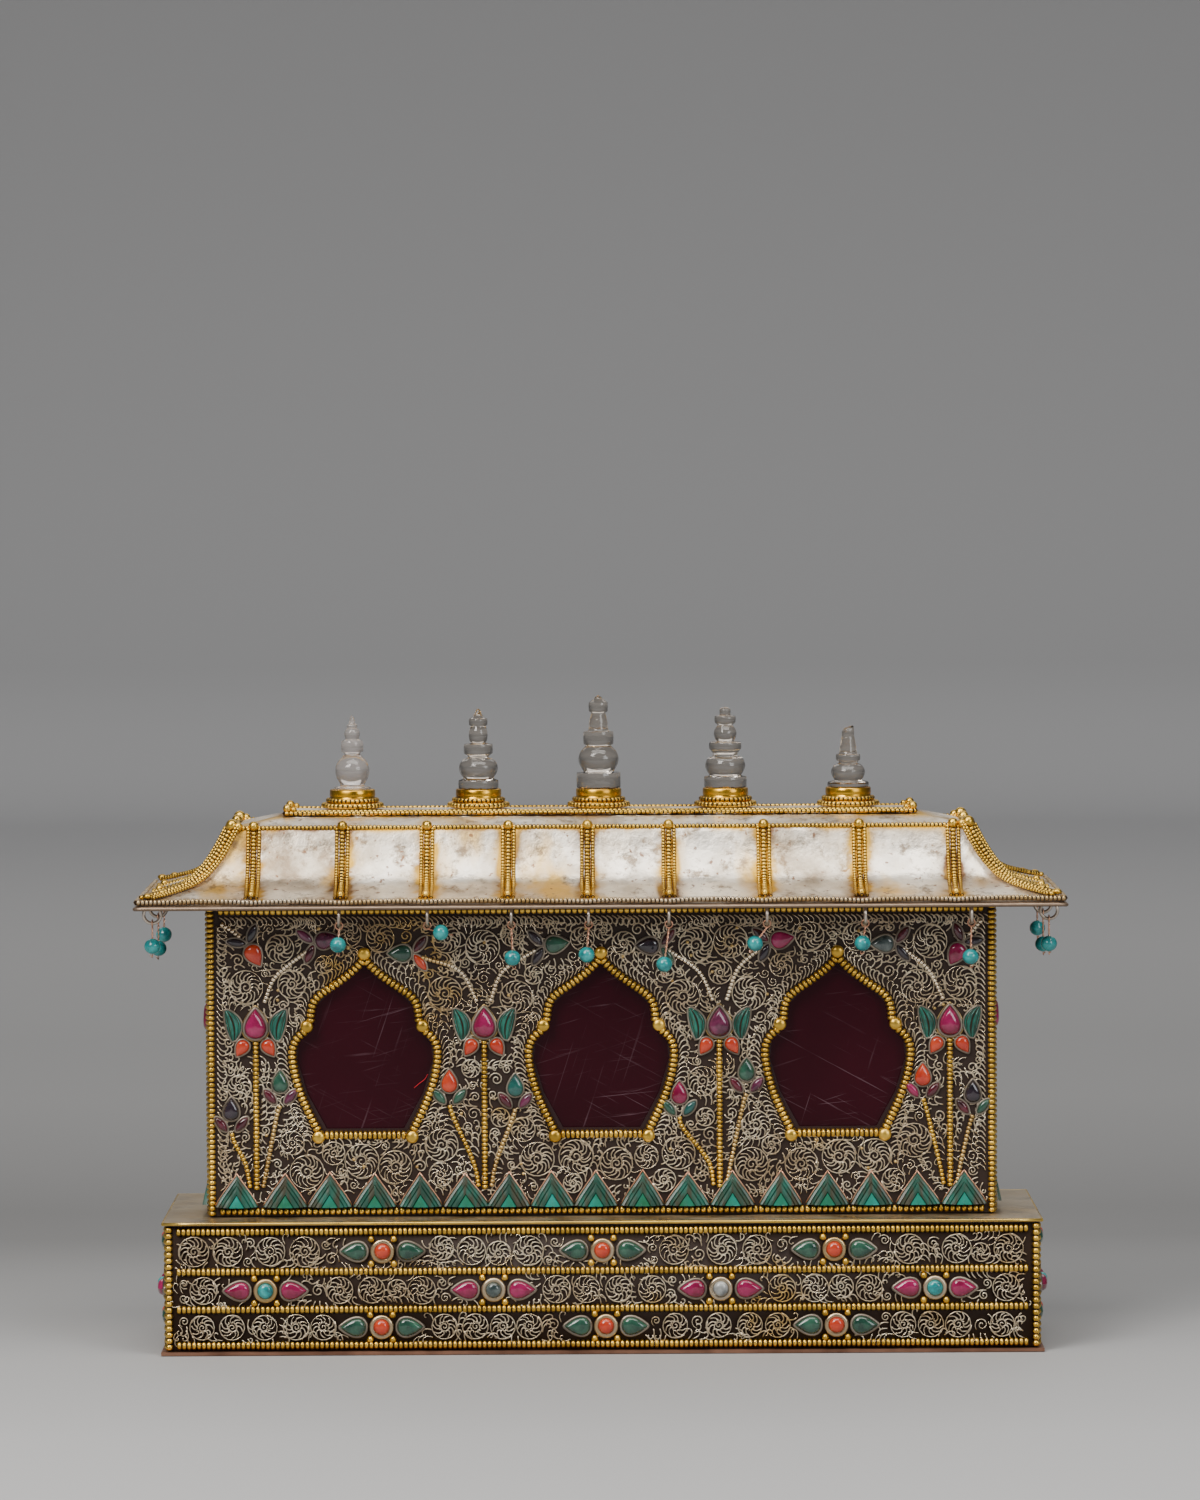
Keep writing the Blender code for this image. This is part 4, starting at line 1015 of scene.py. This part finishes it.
def spray(metal, stones, u, v, degrees, pear, first, second):
    """A pear with two marquises behind it. Returns its discs."""
    turn = math.radians(degrees)
    gem(metal, stones, "pear", *spot_at(u, v, turn, 4.1), degrees, SPRAY_PEAR, pear)
    for side, look in ((-1, first), (1, second)):
        other = turn + side * math.radians(128)
        gem(metal, stones, "marquise", *spot_at(u, v, other, 3.5), math.degrees(other), MARQUISE, look)
    return [(*spot_at(u, v, angle, reach), radius)
            for angle, reach, radius in ((turn, 4.0, 3.2), (turn - 2.23, 3.6, 2.3), (turn + 2.23, 3.6, 2.3))]


def bud(beads, metal, stones, stem, side, u, v, pear, left, right):
    """A bud of a pear over two marquises on a thin beaded stem. Returns its discs."""
    gem(metal, stones, "pear", u, v, 90, BUD_PEAR, pear)
    gem(metal, stones, "marquise", u - 3.1, v - 4.7, 130, BUD_MARQUISE, left)
    gem(metal, stones, "marquise", u + 3.1, v - 4.7, 50, BUD_MARQUISE, right)
    line = smooth_line(((stem + side * 1.9, STEM_FOOT + 0.6), (stem + side * 3.4, STEM_FOOT + 8.0),
                        (u - side * 1.2, v - 11.0), (u, v - 7.2)), 6)
    beads.beads(lift(line, 0.4), 0.8, 1.2, "pale_gilt" if side > 0 else "gilt", 7, waist=0.4)
    return line_discs(line, 0.8) + [(u, v + 0.6, 3.0), (u - 3.2, v - 4.6, 2.4), (u + 3.2, v - 4.6, 2.4)]


def petal_row(metal, stones, places):
    """Petals along a panel's foot. Returns their discs."""
    discs = []
    for u in places:
        petal(metal, stones, u)
        discs += [(u, PETAL_FOOT + PETAL_HEIGHT * up, PETAL_WIDTH / 2 * (1 - up))
                  for up in (0.1, 0.3, 0.5, 0.7, 0.9)]
    return discs


def inside(line, u, v):
    """Whether a spot lies within a closed line: a ray from it crosses the line an odd number of times."""
    crossed = 0
    for (a_u, a_v), (b_u, b_v) in zip(line, np.roll(line, -1, axis=0)):
        if (a_v > v) != (b_v > v) and u < (b_u - a_u) * (v - a_v) / (b_v - a_v) + a_u:
            crossed += 1
    return crossed % 2 == 1


def window(beads, wires, centre):
    """A beaded frame with balls at its notches and two ferns beside it. Returns its discs."""
    line = window_line(centre, -0.45)
    beads.beads(lift(line, 0.1), 1.45, 1.45, closed=True)
    foot_u, foot_v = WINDOW[0]
    for u, v in ((0.0, WINDOW[-1][1] + 0.9), NOTCH, (-NOTCH[0], NOTCH[1]), (foot_u + 0.2, foot_v - 0.1),
                 (-foot_u - 0.2, foot_v - 0.1)):
        beads.ball((centre + u, v, 0.9), 2.0, "gilt", 14, 8, 0.55)
    discs = []
    for u in np.arange(-22, 23, 2.0):
        for v in np.arange(24, 80, 2.0):
            if inside(line - (centre, 0), u, v):
                discs.append((centre + u, v, 1.2))
    right = window_line(0.0, 1.15)[:-WINDOW_FOOT_POINTS]
    count = len(right) // 2 + 1
    fern(wires, right[:count - 1] + (centre, 0), 2.6, 1.5, -1)
    fern(wires, right[count:][::-1] + (centre, 0), 2.6, 1.5, 1)
    return discs + line_discs(line, 1.2) + line_discs(window_line(centre, 2.6)[:-WINDOW_FOOT_POINTS], 1.2)


def make_front():
    half, place = skin("front", BODY_WIDTH, BODY_DEPTH, BODY_FOOT)
    height = BODY_TOP - BODY_FOOT
    base = Piece("front_ground", "filigree", place, ("front_panel",))
    beads = Piece("front_beading", "filigree", place, bead_sides=7)
    metal = Piece("front_bezels", "filigree", place)
    stones = Piece("front_stones", "filigree", place)
    wires = Piece("front_filigree", "filigree", place)
    windowed_ground(base, half, height)
    border(beads, half, height, 0.9)
    blocked = []
    for index in (-1, 0, 1):
        blocked += window(beads, wires, index * WINDOW_SPACING)
    for stem, look in zip(STEMS, STEM_STONES):
        blocked += lotus(beads, metal, stones, stem, look)
    for index, values in enumerate(BUDS):
        blocked += bud(beads, metal, stones, STEMS[index // 2], 1 if index % 2 else -1, *values)
    for values in SPRAYS:
        blocked += spray(metal, stones, *values)
    for points in BRANCHES:
        line = smooth_line(points, 8)
        beads.beads(lift(line, 0.35), 0.75, 1.15, "wire", 7, waist=0.4)
        blocked += line_discs(line, 0.7)
    blocked += petal_row(metal, stones, PETALS)
    inner = half - COLUMN_WIDTH + 0.4
    top = height - BAR_HEIGHT - 0.5
    for end in (-1, 1):
        edge = np.array([(end * inner, v) for v in np.linspace(STEM_FOOT + 4, height - 5, 30)])
        fern(wires, edge[::end], 2.4, 1.7, 1)
    fern(wires, np.array([(u, top) for u in np.linspace(-inner, inner, 60)]), 2.3, 1.6, -1)
    blocked += [(end * inner, v, 1.9) for end in (-1, 1) for v in np.arange(12.0, height - 4, 2.5)]
    blocked += [(u, top, 1.9) for u in np.arange(-inner, inner, 2.5)]
    fill(wires, inner, 6.0, top, blocked, SIZES, TRIES, CLOSE)
    granules(beads, blocked, inner, top)
    base.build(smooth=False)
    build_all(beads, metal, stones, wires)


def granules(piece, blocked, half, top):
    """A few loose granules on the ground."""
    discs = np.array(blocked)
    for _ in range(90):
        u = rng.uniform(-half, half)
        v = rng.uniform(8.0, top)
        if room_at(discs, u, v) > 0.6:
            piece.ball((u, v, 0.35), 0.55, "pale_gilt", 8, 5)


def make_other_body(side):
    """Back and side panels, in keeping with the front and plainer."""
    wide = side == "back"
    half, place = skin(side, BODY_WIDTH, BODY_DEPTH, BODY_FOOT)
    height = BODY_TOP - BODY_FOOT
    base = Piece(side + "_ground", "filigree", place, (side + "_panel",), 5 if wide else 7)
    stones = Piece(side + "_stones", "filigree", place)
    wires = Piece(side + "_filigree", "filigree", place, steps=BACK_STEPS if wide else SIDE_STEPS)
    sheet_panel(base, half, height)
    border(base, half, height, 0.9 if wide else 0.0)
    blocked = petal_row(base, stones, PETALS if wide else SIDE_PETALS)
    for stem in BACK_STEMS if wide else (0.0,):
        blocked += lotus(base, base, stones, stem, "ruby")
    if not wide:
        gem(base, stones, "pear", 0.0, 81.0, 90, SIDE_PEAR, "green")
        gem(base, stones, "marquise", -5.6, 77.6, 145, MARQUISE, "lapis")
        gem(base, stones, "marquise", 5.6, 77.6, 35, MARQUISE, "lapis")
        blocked += [(0.0, 81.0, 3.4), (-5.6, 77.6, 2.8), (5.6, 77.6, 2.8)]
    inner = half - COLUMN_WIDTH - 0.3
    top = height - BAR_HEIGHT - 0.5
    fill(wires, inner, 6.0, top, blocked, SIZES[:4] if wide else SIZES, BACK_TRIES, WIDE if wide else CLOSE)
    build_all(base, stones, wires)


def triplet(metal, stones, u, v, pears, centre, more):
    """A round stone between two pears, with four balls. Returns its discs."""
    gem(metal, stones, "round", u, v, 0, (3.7, 3.7, 2.6 + more), centre, "edge", 1.35)
    discs = []
    for end in (-1, 1):
        gem(metal, stones, "pear", u + end * PEAR_OFFSET, v, 90 - 90 * end, (4.6, 3.4, 2.1 + more), pears,
            collar=0.75)
        for lean in (-1, 1):
            metal.ball((u + end * 3.4, v + lean * 3.7, 0.5), 1.1, "gilt", 9, 6)
        discs += [(u + end * 4.0, v, 3.8), (u + end * 8.0, v, 3.9), (u + end * 11.5, v, 2.2)]
    return discs + [(u, v, 4.0)]


def make_plinth(side):
    wide = side in ("front", "back")
    back = side == "back"
    half, place = skin(side, PLINTH_WIDTH, PLINTH_DEPTH, PLINTH_FOOT)
    height = SKIN_TOP - PLINTH_FOOT
    name = "plinth_" + side
    steps = {"front": FINE_STEPS, "back": BACK_STEPS}.get(side, SIDE_STEPS)
    base = Piece(name + "_ground", "filigree", place, (name + "_panel",), 5 if back else 6)
    stones = Piece(name + "_stones", "filigree", place)
    wires = Piece(name + "_filigree", "filigree", place, steps=steps)
    sheet_panel(base, half, height)
    rim = (PLINTH_WIDTH if wide else PLINTH_DEPTH) / 2
    rim_v = PLINTH_TOP - PLINTH_FOOT - 0.45
    base.tube([(u, rim_v, BAR_RISE - 0.15) for u in np.linspace(-rim, rim, 30)], 0.5, 6, "rim")
    inner = half - COLUMN_WIDTH
    for row in PLINTH_ROWS:
        base.beads([(-inner, row, 0.1), (inner, row, 0.1)], BAR_HEIGHT / 2, 1.68 if back else 1.48)
    columns(base, half, height, 1.85, 0.9 if wide else 0.0)
    layout = {"front": PLINTH_TRIPLETS, "back": BACK_TRIPLETS}.get(side, SIDE_TRIPLETS)
    bands = list(zip(PLINTH_ROWS, PLINTH_ROWS[1:]))
    for (low, high), triplets in zip(reversed(bands), layout):
        blocked = [BELOW]
        for u, pears, centre in triplets:
            blocked += triplet(base, stones, u, (low + high) / 2, pears, centre, 0.0 if wide else 1.4)
        floor = low + BAR_HEIGHT / 2
        roof = high - BAR_HEIGHT / 2
        radius = (roof - floor) / 2
        sizes = [radius] + [size for size in SIZES if size < radius - 0.3]
        fill(wires, inner, floor, roof, blocked, sizes, PLINTH_TRIES, WIDE if back else CLOSE)
    build_all(base, stones, wires)


def slope_line():
    """Half width, half depth and height of the roof's slope, from the eave up."""
    shares = smooth_line(SLOPE, 3)
    half_w = EAVE_HALF_W + (SLOPE_TOP_WIDTH - EAVE_WIDTH) / 2 * shares[:, 0]
    half_d = EAVE_HALF_D + (SLOPE_TOP_DEPTH - EAVE_DEPTH) / 2 * shares[:, 0]
    return np.column_stack([half_w, half_d, LIP_TOP + (SLOPE_TOP - LIP_TOP) * shares[:, 1]])


def rib_gap(ring):
    """How far each point of a ring is from the nearest rib, in millimetres."""
    gap = np.full(len(ring), 1e9)
    for places, axis, facing in ((RIBS, 0, ring[:, 1] < 0), (BACK_RIBS, 0, ring[:, 1] > 0)):
        near = np.abs(ring[:, axis][:, None] - np.array(places)[None, :]).min(axis=1)
        gap = np.where(facing, np.minimum(gap, near), gap)
    return gap


def ring_of(half_w, half_d, z, long_count=96, short_count=24, dent=0.0):
    """A rectangle with points along its sides, slightly dented by hand work."""
    u = np.linspace(-1, 1, long_count + 1)[:-1]
    v = np.linspace(-1, 1, short_count + 1)[:-1]
    side_u = np.ones_like(u)
    side_v = np.ones_like(v)
    corners = ((u, -side_u), (side_v, v), (-u, side_u), (-side_v, -v))
    ring = lift(np.vstack([np.column_stack(side) for side in corners]) * (half_w, half_d), z)
    if dent:
        wave = (np.sin(ring[:, 0] * 0.21 + z * 0.7) + np.sin(ring[:, 0] * 0.083 + 1.3 + z * 0.3)
                + np.sin(ring[:, 1] * 0.33 + z * 0.5))
        pillow = 1 - np.exp(-rib_gap(ring) / 3.0)
        ring[:, 2] += dent * (wave + 4.0 * pillow)
    return ring


def inset_rings(half_w, half_d, rows):
    """Rings inside a rectangle, one for each inset along the width, inset along the depth and height."""
    return [ring_of(half_w - inset_w, half_d - inset_d, z) for inset_w, inset_d, z in rows]


def stain_sheet(made, top):
    """Mark the sheet near ribs, eave and top edge as grimy, and the lip under the eave's beads with -1, which
    colours it dark brown.
    """
    points = np.empty(len(made.data.vertices) * 3)
    made.data.vertices.foreach_get("co", points)
    points = points.reshape(-1, 3) / MM
    near = np.exp(-np.maximum(rib_gap(points) - 1.8, 0.0) / 1.3)
    near = np.maximum(near, np.exp(-np.abs(points[:, 2] - top) / 0.7))
    height = points[:, 2] - EAVE_BOTTOM - EAVE_LIP
    near = np.maximum(near, np.exp(-np.abs(height) / 0.5))
    near = np.where(points[:, 2] > top + 0.1, 0.2 * near, near)
    near = np.maximum(near, 0.8 * np.exp(-np.abs(points[:, 2] - TIER_TOP) / 0.15))
    near = np.where(height < -0.35, -1.0, near)
    grime = made.data.attributes.new("grime", "FLOAT", "POINT")
    grime.data.foreach_set("value", near)


def make_roof_sheet(slope):
    """The hollow sheet roof as one loop of rings: inside, lip, slope and upper tier."""
    sheet = Piece("roof_sheet", "silver_sheet", replaces=("roof_shell",))
    top_w = SLOPE_TOP_WIDTH / 2
    top_d = SLOPE_TOP_DEPTH / 2
    rings = inset_rings(top_w, top_d, ((15, 10, TIER_TOP - 1.0), (1.5, 1.5, SLOPE_TOP - 1.6)))
    rings += [ring_of(half_w - 1.0, half_d - 1.0, z - 1.3) for half_w, half_d, z in slope[-6::-6]]
    rings += inset_rings(EAVE_HALF_W, EAVE_HALF_D, ((1.2, 1.2, EAVE_BOTTOM + 1.0),))
    rings += [ring_of(WALL_W, WALL_D, EAVE_BOTTOM + 1.0), ring_of(WALL_W, WALL_D, EAVE_BOTTOM)]
    rings += inset_rings(EAVE_HALF_W, EAVE_HALF_D,
                         ((0.4, 0.4, EAVE_BOTTOM), (0.0, 0.0, EAVE_BOTTOM + 0.4),
                          (0.0, 0.0, EAVE_BOTTOM + 0.8), (0.9, 0.9, EAVE_BOTTOM + 1.2),
                          (SEAM, SEAM, slope[0][2] - 0.2)))
    for index, (half_w, half_d, z) in enumerate(slope):
        if half_w < EAVE_HALF_W - SEAM:
            rings.append(ring_of(half_w, half_d, z, dent=0.0 if index == len(slope) - 1 else DENT))
    rings += inset_rings(top_w, top_d, ((1.5, 1.0, SLOPE_TOP + 0.3),))
    rings += inset_rings(TIER_TOP_WIDTH / 2, TIER_TOP_DEPTH / 2,
                         ((-5.0, -4.0, TIER_TOP - 1.1), (-0.5, -0.5, TIER_TOP - 0.1), (0.5, 0.5, TIER_TOP)))
    sheet.rings(rings, "sheet")
    stain_sheet(sheet.build(), slope[-1][2])


# Beaded wires side by side, of a rib and of a hip: shift, radius and pitch
RIB_WIRES = ((0.0, 1.0, 1.2), (-1.65, 0.62, 1.0), (1.65, 0.62, 1.0))
HIP_WIRES = ((0.0, 1.1, 1.3), (-1.75, 0.7, 1.1), (1.75, 0.7, 1.1), (-3.0, 0.5, 1.0), (3.0, 0.5, 1.0))
BACK_HIP_WIRES = HIP_WIRES[:3]


def add_ribs(trim, slope):
    """Three beaded wires on each rib, with a ball at either end."""
    for side, places in (("front", RIBS), ("back", BACK_RIBS), ("left", SIDE_RIBS), ("right", SIDE_RIBS)):
        trim.place = panel_place(side, 0.0, 0.0)
        axis = 1 if side in ("front", "back") else 0
        line = [(spot[axis] + 0.15, spot[2] + 0.35) for spot in slope]
        for u in places:
            for shift, radius, pitch in RIB_WIRES:
                path = [(u + shift, z, w) for w, z in line[2:]]
                trim.beads(path, radius, pitch, sides=6 if side == "front" else 5, up=(0, 0.6, 0.8))
            trim.ball((u, SLOPE_TOP + 0.9, slope[-1][axis] + 0.3), 1.6)
            trim.ball((u, line[3][1] + 0.5, line[3][0] - 0.3), 1.25, "gilt", 10, 6)


def add_hips(trim, slope):
    """Beaded wires down the four hips, with balls at the top and near the foot."""
    trim.place = np.eye(4)
    for end_w in (-1, 1):
        for end_d in (-1, 1):
            across = np.array((-end_d, end_w, 0.0)) / math.sqrt(2)
            path = slope * (end_w, end_d, 1.0) + (0.0, 0.0, 0.7)
            for shift, radius, pitch in HIP_WIRES if end_d < 0 else BACK_HIP_WIRES:
                trim.beads(path[2:] + across * shift, radius, pitch)
            for du, dv, dz, radius in ((0, 0, 0.5, 1.9), (-1.9, 0.6, 0.1, 1.4), (0.8, -1.8, 0.0, 1.4)):
                trim.ball(path[-1] + (du * end_w, dv * end_d, dz), radius)
            for index, radius in ((2, 1.5), (4, 1.3)):
                trim.ball(path[index] + across * 0.8 + (0, 0, 0.5), radius, "gilt", 12, 6, 0.6)
                trim.ball(path[index] - across * 1.7, radius * 0.7, "gilt", 10, 6, 0.7)


def add_eave_rings(trim):
    for side, pendants in PENDANTS.items():
        trim.place = panel_place(side, 0.0, 0.0)
        for u, _, _ in pendants:
            ring = lift(polar(RING_CENTRE, eave_offset(side), RING_RADIUS, circle(26)), u)
            trim.tube(np.roll(ring, 1, axis=1), RING_WIRE, 8, "ring", up=(1, 0, 0), closed=True)


def make_roof():
    slope = slope_line()
    make_roof_sheet(slope)
    trim = Piece("roof_beading", "silver_sheet", bead_sides=6)
    loop = ring_of(EAVE_HALF_W - 1.02, EAVE_HALF_D - 1.02, LIP_TOP - 0.15, 120, 40, DENT)
    trim.beads(loop, 0.93, 1.25, "edge", closed=True)
    top = ring_of(SLOPE_TOP_WIDTH / 2 - 0.4, SLOPE_TOP_DEPTH / 2 - 0.2, SLOPE_TOP + 0.3)
    trim.beads(top, 0.95, 1.2, closed=True)
    add_ribs(trim, slope)
    add_hips(trim, slope)
    add_eave_rings(trim)
    trim.build()


def eave_offset(side):
    half = EAVE_HALF_D if side in ("front", "back") else EAVE_HALF_W
    return half - RING_INSET - RING_RADIUS


def make_deck():
    deck = Piece("ridge_strip", "silver_sheet", replaces=("ridge_deck",), bead_sides=6)
    half_w = DECK_WIDTH / 2
    half_d = DECK_DEPTH / 2
    deck.rings(inset_rings(half_w, half_d, ((1.2, 1.2, DECK_FOOT), (1.2, 1.2, DECK_TOP - 0.3),
                                            (2.6, 2.6, DECK_TOP - 0.3))), "sheet")
    for inset, z, radius in ((0.9, DECK_FOOT + 0.75, 0.72), (1.7, DECK_TOP - 0.25, 0.6)):
        deck.beads(ring_of(half_w - inset, half_d - inset, z), radius, 1.35, closed=True)
    for end_w in (-1, 1):
        for end_d in (-1, 1):
            deck.ball((end_w * (half_w - 1.7), end_d * (half_d - 1.7), DECK_TOP + 0.7), 1.35)
            deck.ball((end_w * (half_w - 3.6), end_d * (half_d - 1.9), DECK_TOP + 0.3), 0.95)
    deck.build()


def circle_at(u, radius, z):
    return lift(polar(u, 0.0, radius, circle(40)), z)


def make_collar(number, u):
    """A gilt cup with two rings of beads round it."""
    foot = DECK_TOP + GAP
    top = DECK_TOP + COLLAR_TOP
    low = COLLAR_LOW_RADIUS
    mid = COLLAR_MID_RADIUS
    high = COLLAR_RADIUS
    collar = Piece("collar_" + str(number), "gilt", replaces=("finial_collar_" + str(number),))
    shape = ((low - 0.9, foot), (low - 0.9, foot + 1.2), (mid - 0.8, foot + 1.7), (mid - 0.9, foot + 2.9),
             (high - 0.15, foot + 3.3), (high, foot + 3.8), (high - 0.05, top - 0.3), (high - 0.25, top),
             (COLLAR_BORE, top), (COLLAR_BORE, foot + 1.2))
    collar.rings([circle_at(u, radius, z) for radius, z in shape], "band")
    collar.beads(circle_at(u, low - 0.82, foot + 0.85), 0.82, 1.5, closed=True)
    collar.beads(circle_at(u, mid - 0.72, foot + 2.35), 0.74, 1.35, closed=True)
    collar.build()


def make_crystal(number, u, profile):
    """A turned crystal with its plug in the cup; the tip of the last one is broken off."""
    crystal = Piece("crystal_" + str(number), "rock_crystal", replaces=("crystal_stupa_" + str(number),))
    rim = DECK_TOP + COLLAR_TOP + GAP
    plug = COLLAR_BORE - GAP
    rows = [circle_at(u, plug, rim - 2.6), circle_at(u, plug, rim), circle_at(u, profile[-1][1], rim)]
    for z, radius in smooth_line(profile[::-1], 3):
        if DECK_TOP + z > rim + 0.15:
            row = circle_at(u, max(radius, 0.05), DECK_TOP + z)
            if number == BROKEN_FINIAL and z > BREAK_HEIGHT:
                row[:, 2] += np.sin(np.arange(len(row)) * 0.9) * 0.25 - 0.35 + (row[:, 0] - u) * 0.35
            rows.append(row)
    crystal.rings(rows, "milky" if number == MILKY_FINIAL else "crystal")
    made = crystal.build()
    made.data.set_sharp_from_angle(angle=math.radians(CRISP_ANGLE))


def make_pendant(name, side, u, shift, bead_z):
    """A bead on a copper wire: a loop in the eave ring, two twisted strands, the bead and a bent tail."""
    piece = Piece("bead_" + name, "turquoise", panel_place(side, 0.0, 0.0), ("pendant_" + name,))
    offset = eave_offset(side)
    ring_foot = RING_CENTRE - RING_RADIUS
    loop = RING_WIRE + GAP + 0.25
    piece.tube(lift(polar(u, ring_foot, loop, circle(18)), offset), 0.22, 5, "copper", closed=True)
    top = np.array((u, ring_foot - loop, offset))
    centre = np.array((u + shift, bead_z, offset))
    length = np.linalg.norm(centre - top)
    along = (centre - top) / length
    reach = length - BEAD_RADIUS
    if reach > SHORTEST_TWIST:
        steps = np.linspace(0.0, 1.0, 22)
        for start in (0.0, math.pi):
            twist = steps * reach * 2.4 + start
            spin = np.column_stack([0.2 * np.cos(twist), np.zeros_like(twist), 0.2 * np.sin(twist)])
            strand = top + along * (steps * (reach + 0.4))[:, None] + spin
            piece.tube(strand, STRAND, 4, "copper", up=(1, 0.3, 0))
    foot = centre + along * (BEAD_RADIUS - 0.1)
    tail = [foot + along * down + (side_step, 0, out) for down, side_step, out in TAIL]
    piece.tube(smooth_line(tail, 4), STRAND, 4, "copper", up=(0.2, 0.1, 1))
    across = np.cross(along, (0.0, 0.0, 1.0))
    across /= np.linalg.norm(across)
    deep = np.cross(across, along)
    turn = circle(20)
    rows = []
    for rise in np.linspace(-1.42, 1.42, 13)[::-1]:
        wide = BEAD_RADIUS * 0.98 * math.cos(rise) * (1 + 0.02 * np.sin(3 * turn + bead_z))
        rows.append(centre - along * BEAD_RADIUS * 0.94 * math.sin(rise)
                    + across * (wide * np.cos(turn))[:, None] + deep * (wide * np.sin(turn))[:, None])
    piece.rings(rows, "turquoise")
    piece.build()


def dress_kept_nodes():
    for name, look in (("base_plate", "plate"), ("plinth_case", "ledge"), ("shrine_walls", "walls"),
                       ("window_pane_1", "pane"), ("window_pane_2", "pane"), ("window_pane_3", "pane")):
        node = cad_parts[name]
        node.data.materials.clear()
        node.data.materials.append(MATERIALS[look])


def make_thread():
    """A small red thread caught beside the first pane."""
    thread = Piece("red_thread", "pane", panel_place("front", WALL_D - GAP, BODY_FOOT))
    thread.tube(smooth_line(THREAD, 5), 0.13, 5, "thread")
    thread.build()


def grey_stops(stops, low, high):
    """Stops of a ramp in a very slightly blue grey, from (place, tone) between two places."""
    return [((place - low) / (high - low), (tone, tone, tone * 1.015)) for place, tone in stops]


def backdrop_material():
    """Grey paper with painted light and shade: pale near the box, dark behind it and pale again far off, and
    fading up the wall.
    """
    made = plain("studio_paper", (0.46, 0.46, 0.46), 0.0, 0.75)
    graph = Graph(made)
    place = graph.node("ShaderNodeSeparateXYZ")
    graph.link(graph.coords, place.inputs["Vector"])
    floor = graph.ramp(graph.span(place.outputs["Y"], FLOOR_START, FLOOR_END, 0.0, 1.0),
                       grey_stops(FLOOR_PAINTED_LIGHT, FLOOR_START, FLOOR_END))
    wall = graph.ramp(graph.span(place.outputs["Z"], 0.0, WALL_END, 0.0, 1.0),
                      grey_stops(WALL_PAINTED_LIGHT, 0.0, WALL_END))
    graph.colour(graph.mix(graph.span(place.outputs["Z"], 0.0, 0.1, 0.0, 1.0), floor, wall))
    return made


def make_stage():
    """A floor that sweeps up far behind into a plain grey backdrop."""
    bends = [math.radians(90 * k / SWEEP_STEPS) for k in range(1, SWEEP_STEPS + 1)]
    profile = [(FLOOR_FRONT, 0.0), (FLOOR_END, 0.0)]
    profile += [(FLOOR_END + SWEEP * math.sin(turn), SWEEP - SWEEP * math.cos(turn)) for turn in bends]
    profile.append((FLOOR_END + SWEEP, STAGE_HEIGHT))
    points = []
    for y, z in profile:
        points += [(side * STAGE_HALF_WIDTH, y, z - FLOOR_SINK) for side in (-1, 1)]
    faces = [(2 * k, 2 * k + 1, 2 * k + 3, 2 * k + 2) for k in range(len(profile) - 1)]
    mesh = bpy.data.meshes.new("studio")
    mesh.from_pydata(points, [], faces)
    mesh.materials.append(backdrop_material())
    for face in mesh.polygons:
        face.use_smooth = True
    studio = bpy.data.objects.new("studio", mesh)
    bpy.context.scene.collection.objects.link(studio)


def add_light(name, place, target, size, power, colour):
    data = bpy.data.lights.new(name, "AREA")
    data.shape = "RECTANGLE"
    data.size, data.size_y = size
    data.energy = power
    data.color = colour
    light = bpy.data.objects.new(name, data)
    bpy.context.scene.collection.objects.link(light)
    light.location = place
    light.rotation_euler = Vector(np.subtract(target, place)).to_track_quat("-Z", "Y").to_euler()


def make_lights():
    world = bpy.data.worlds.new("studio_world")
    world.use_nodes = True
    background = world.node_tree.nodes["Background"]
    background.inputs["Color"].default_value = (0.75, 0.77, 0.8, 1.0)
    background.inputs["Strength"].default_value = 0.2
    bpy.context.scene.world = world
    for values in LIGHTS:
        add_light(*values)


def make_camera():
    data = bpy.data.cameras.new("camera")
    data.lens = CAMERA_LENS
    data.sensor_fit = "VERTICAL"
    data.sensor_height = 36.0
    data.clip_start = 0.05
    data.clip_end = 30.0
    camera = bpy.data.objects.new("camera", data)
    bpy.context.scene.collection.objects.link(camera)
    camera.location = (CAMERA_X, -CAMERA_DISTANCE, CAMERA_HEIGHT)
    camera.rotation_mode = "XYZ"
    camera.rotation_euler = (math.radians(90.0 - CAMERA_PITCH), math.radians(CAMERA_ROLL), 0.0)
    bpy.context.scene.camera = camera


make_front()
for facing in ("back", "left", "right"):
    make_other_body(facing)
for facing in ("front", "back", "left", "right"):
    make_plinth(facing)
make_roof()
make_deck()
for finial, (x, crystal_profile) in enumerate(zip(FINIALS, CRYSTALS), 1):
    make_collar(finial, x)
    make_crystal(finial, x, crystal_profile)
for facing, hangings in PENDANTS.items():
    for order, hanging in enumerate(hangings, 1):
        make_pendant(facing + "_" + str(order), facing, *hanging)
dress_kept_nodes()
make_thread()
make_stage()
make_lights()
make_camera()
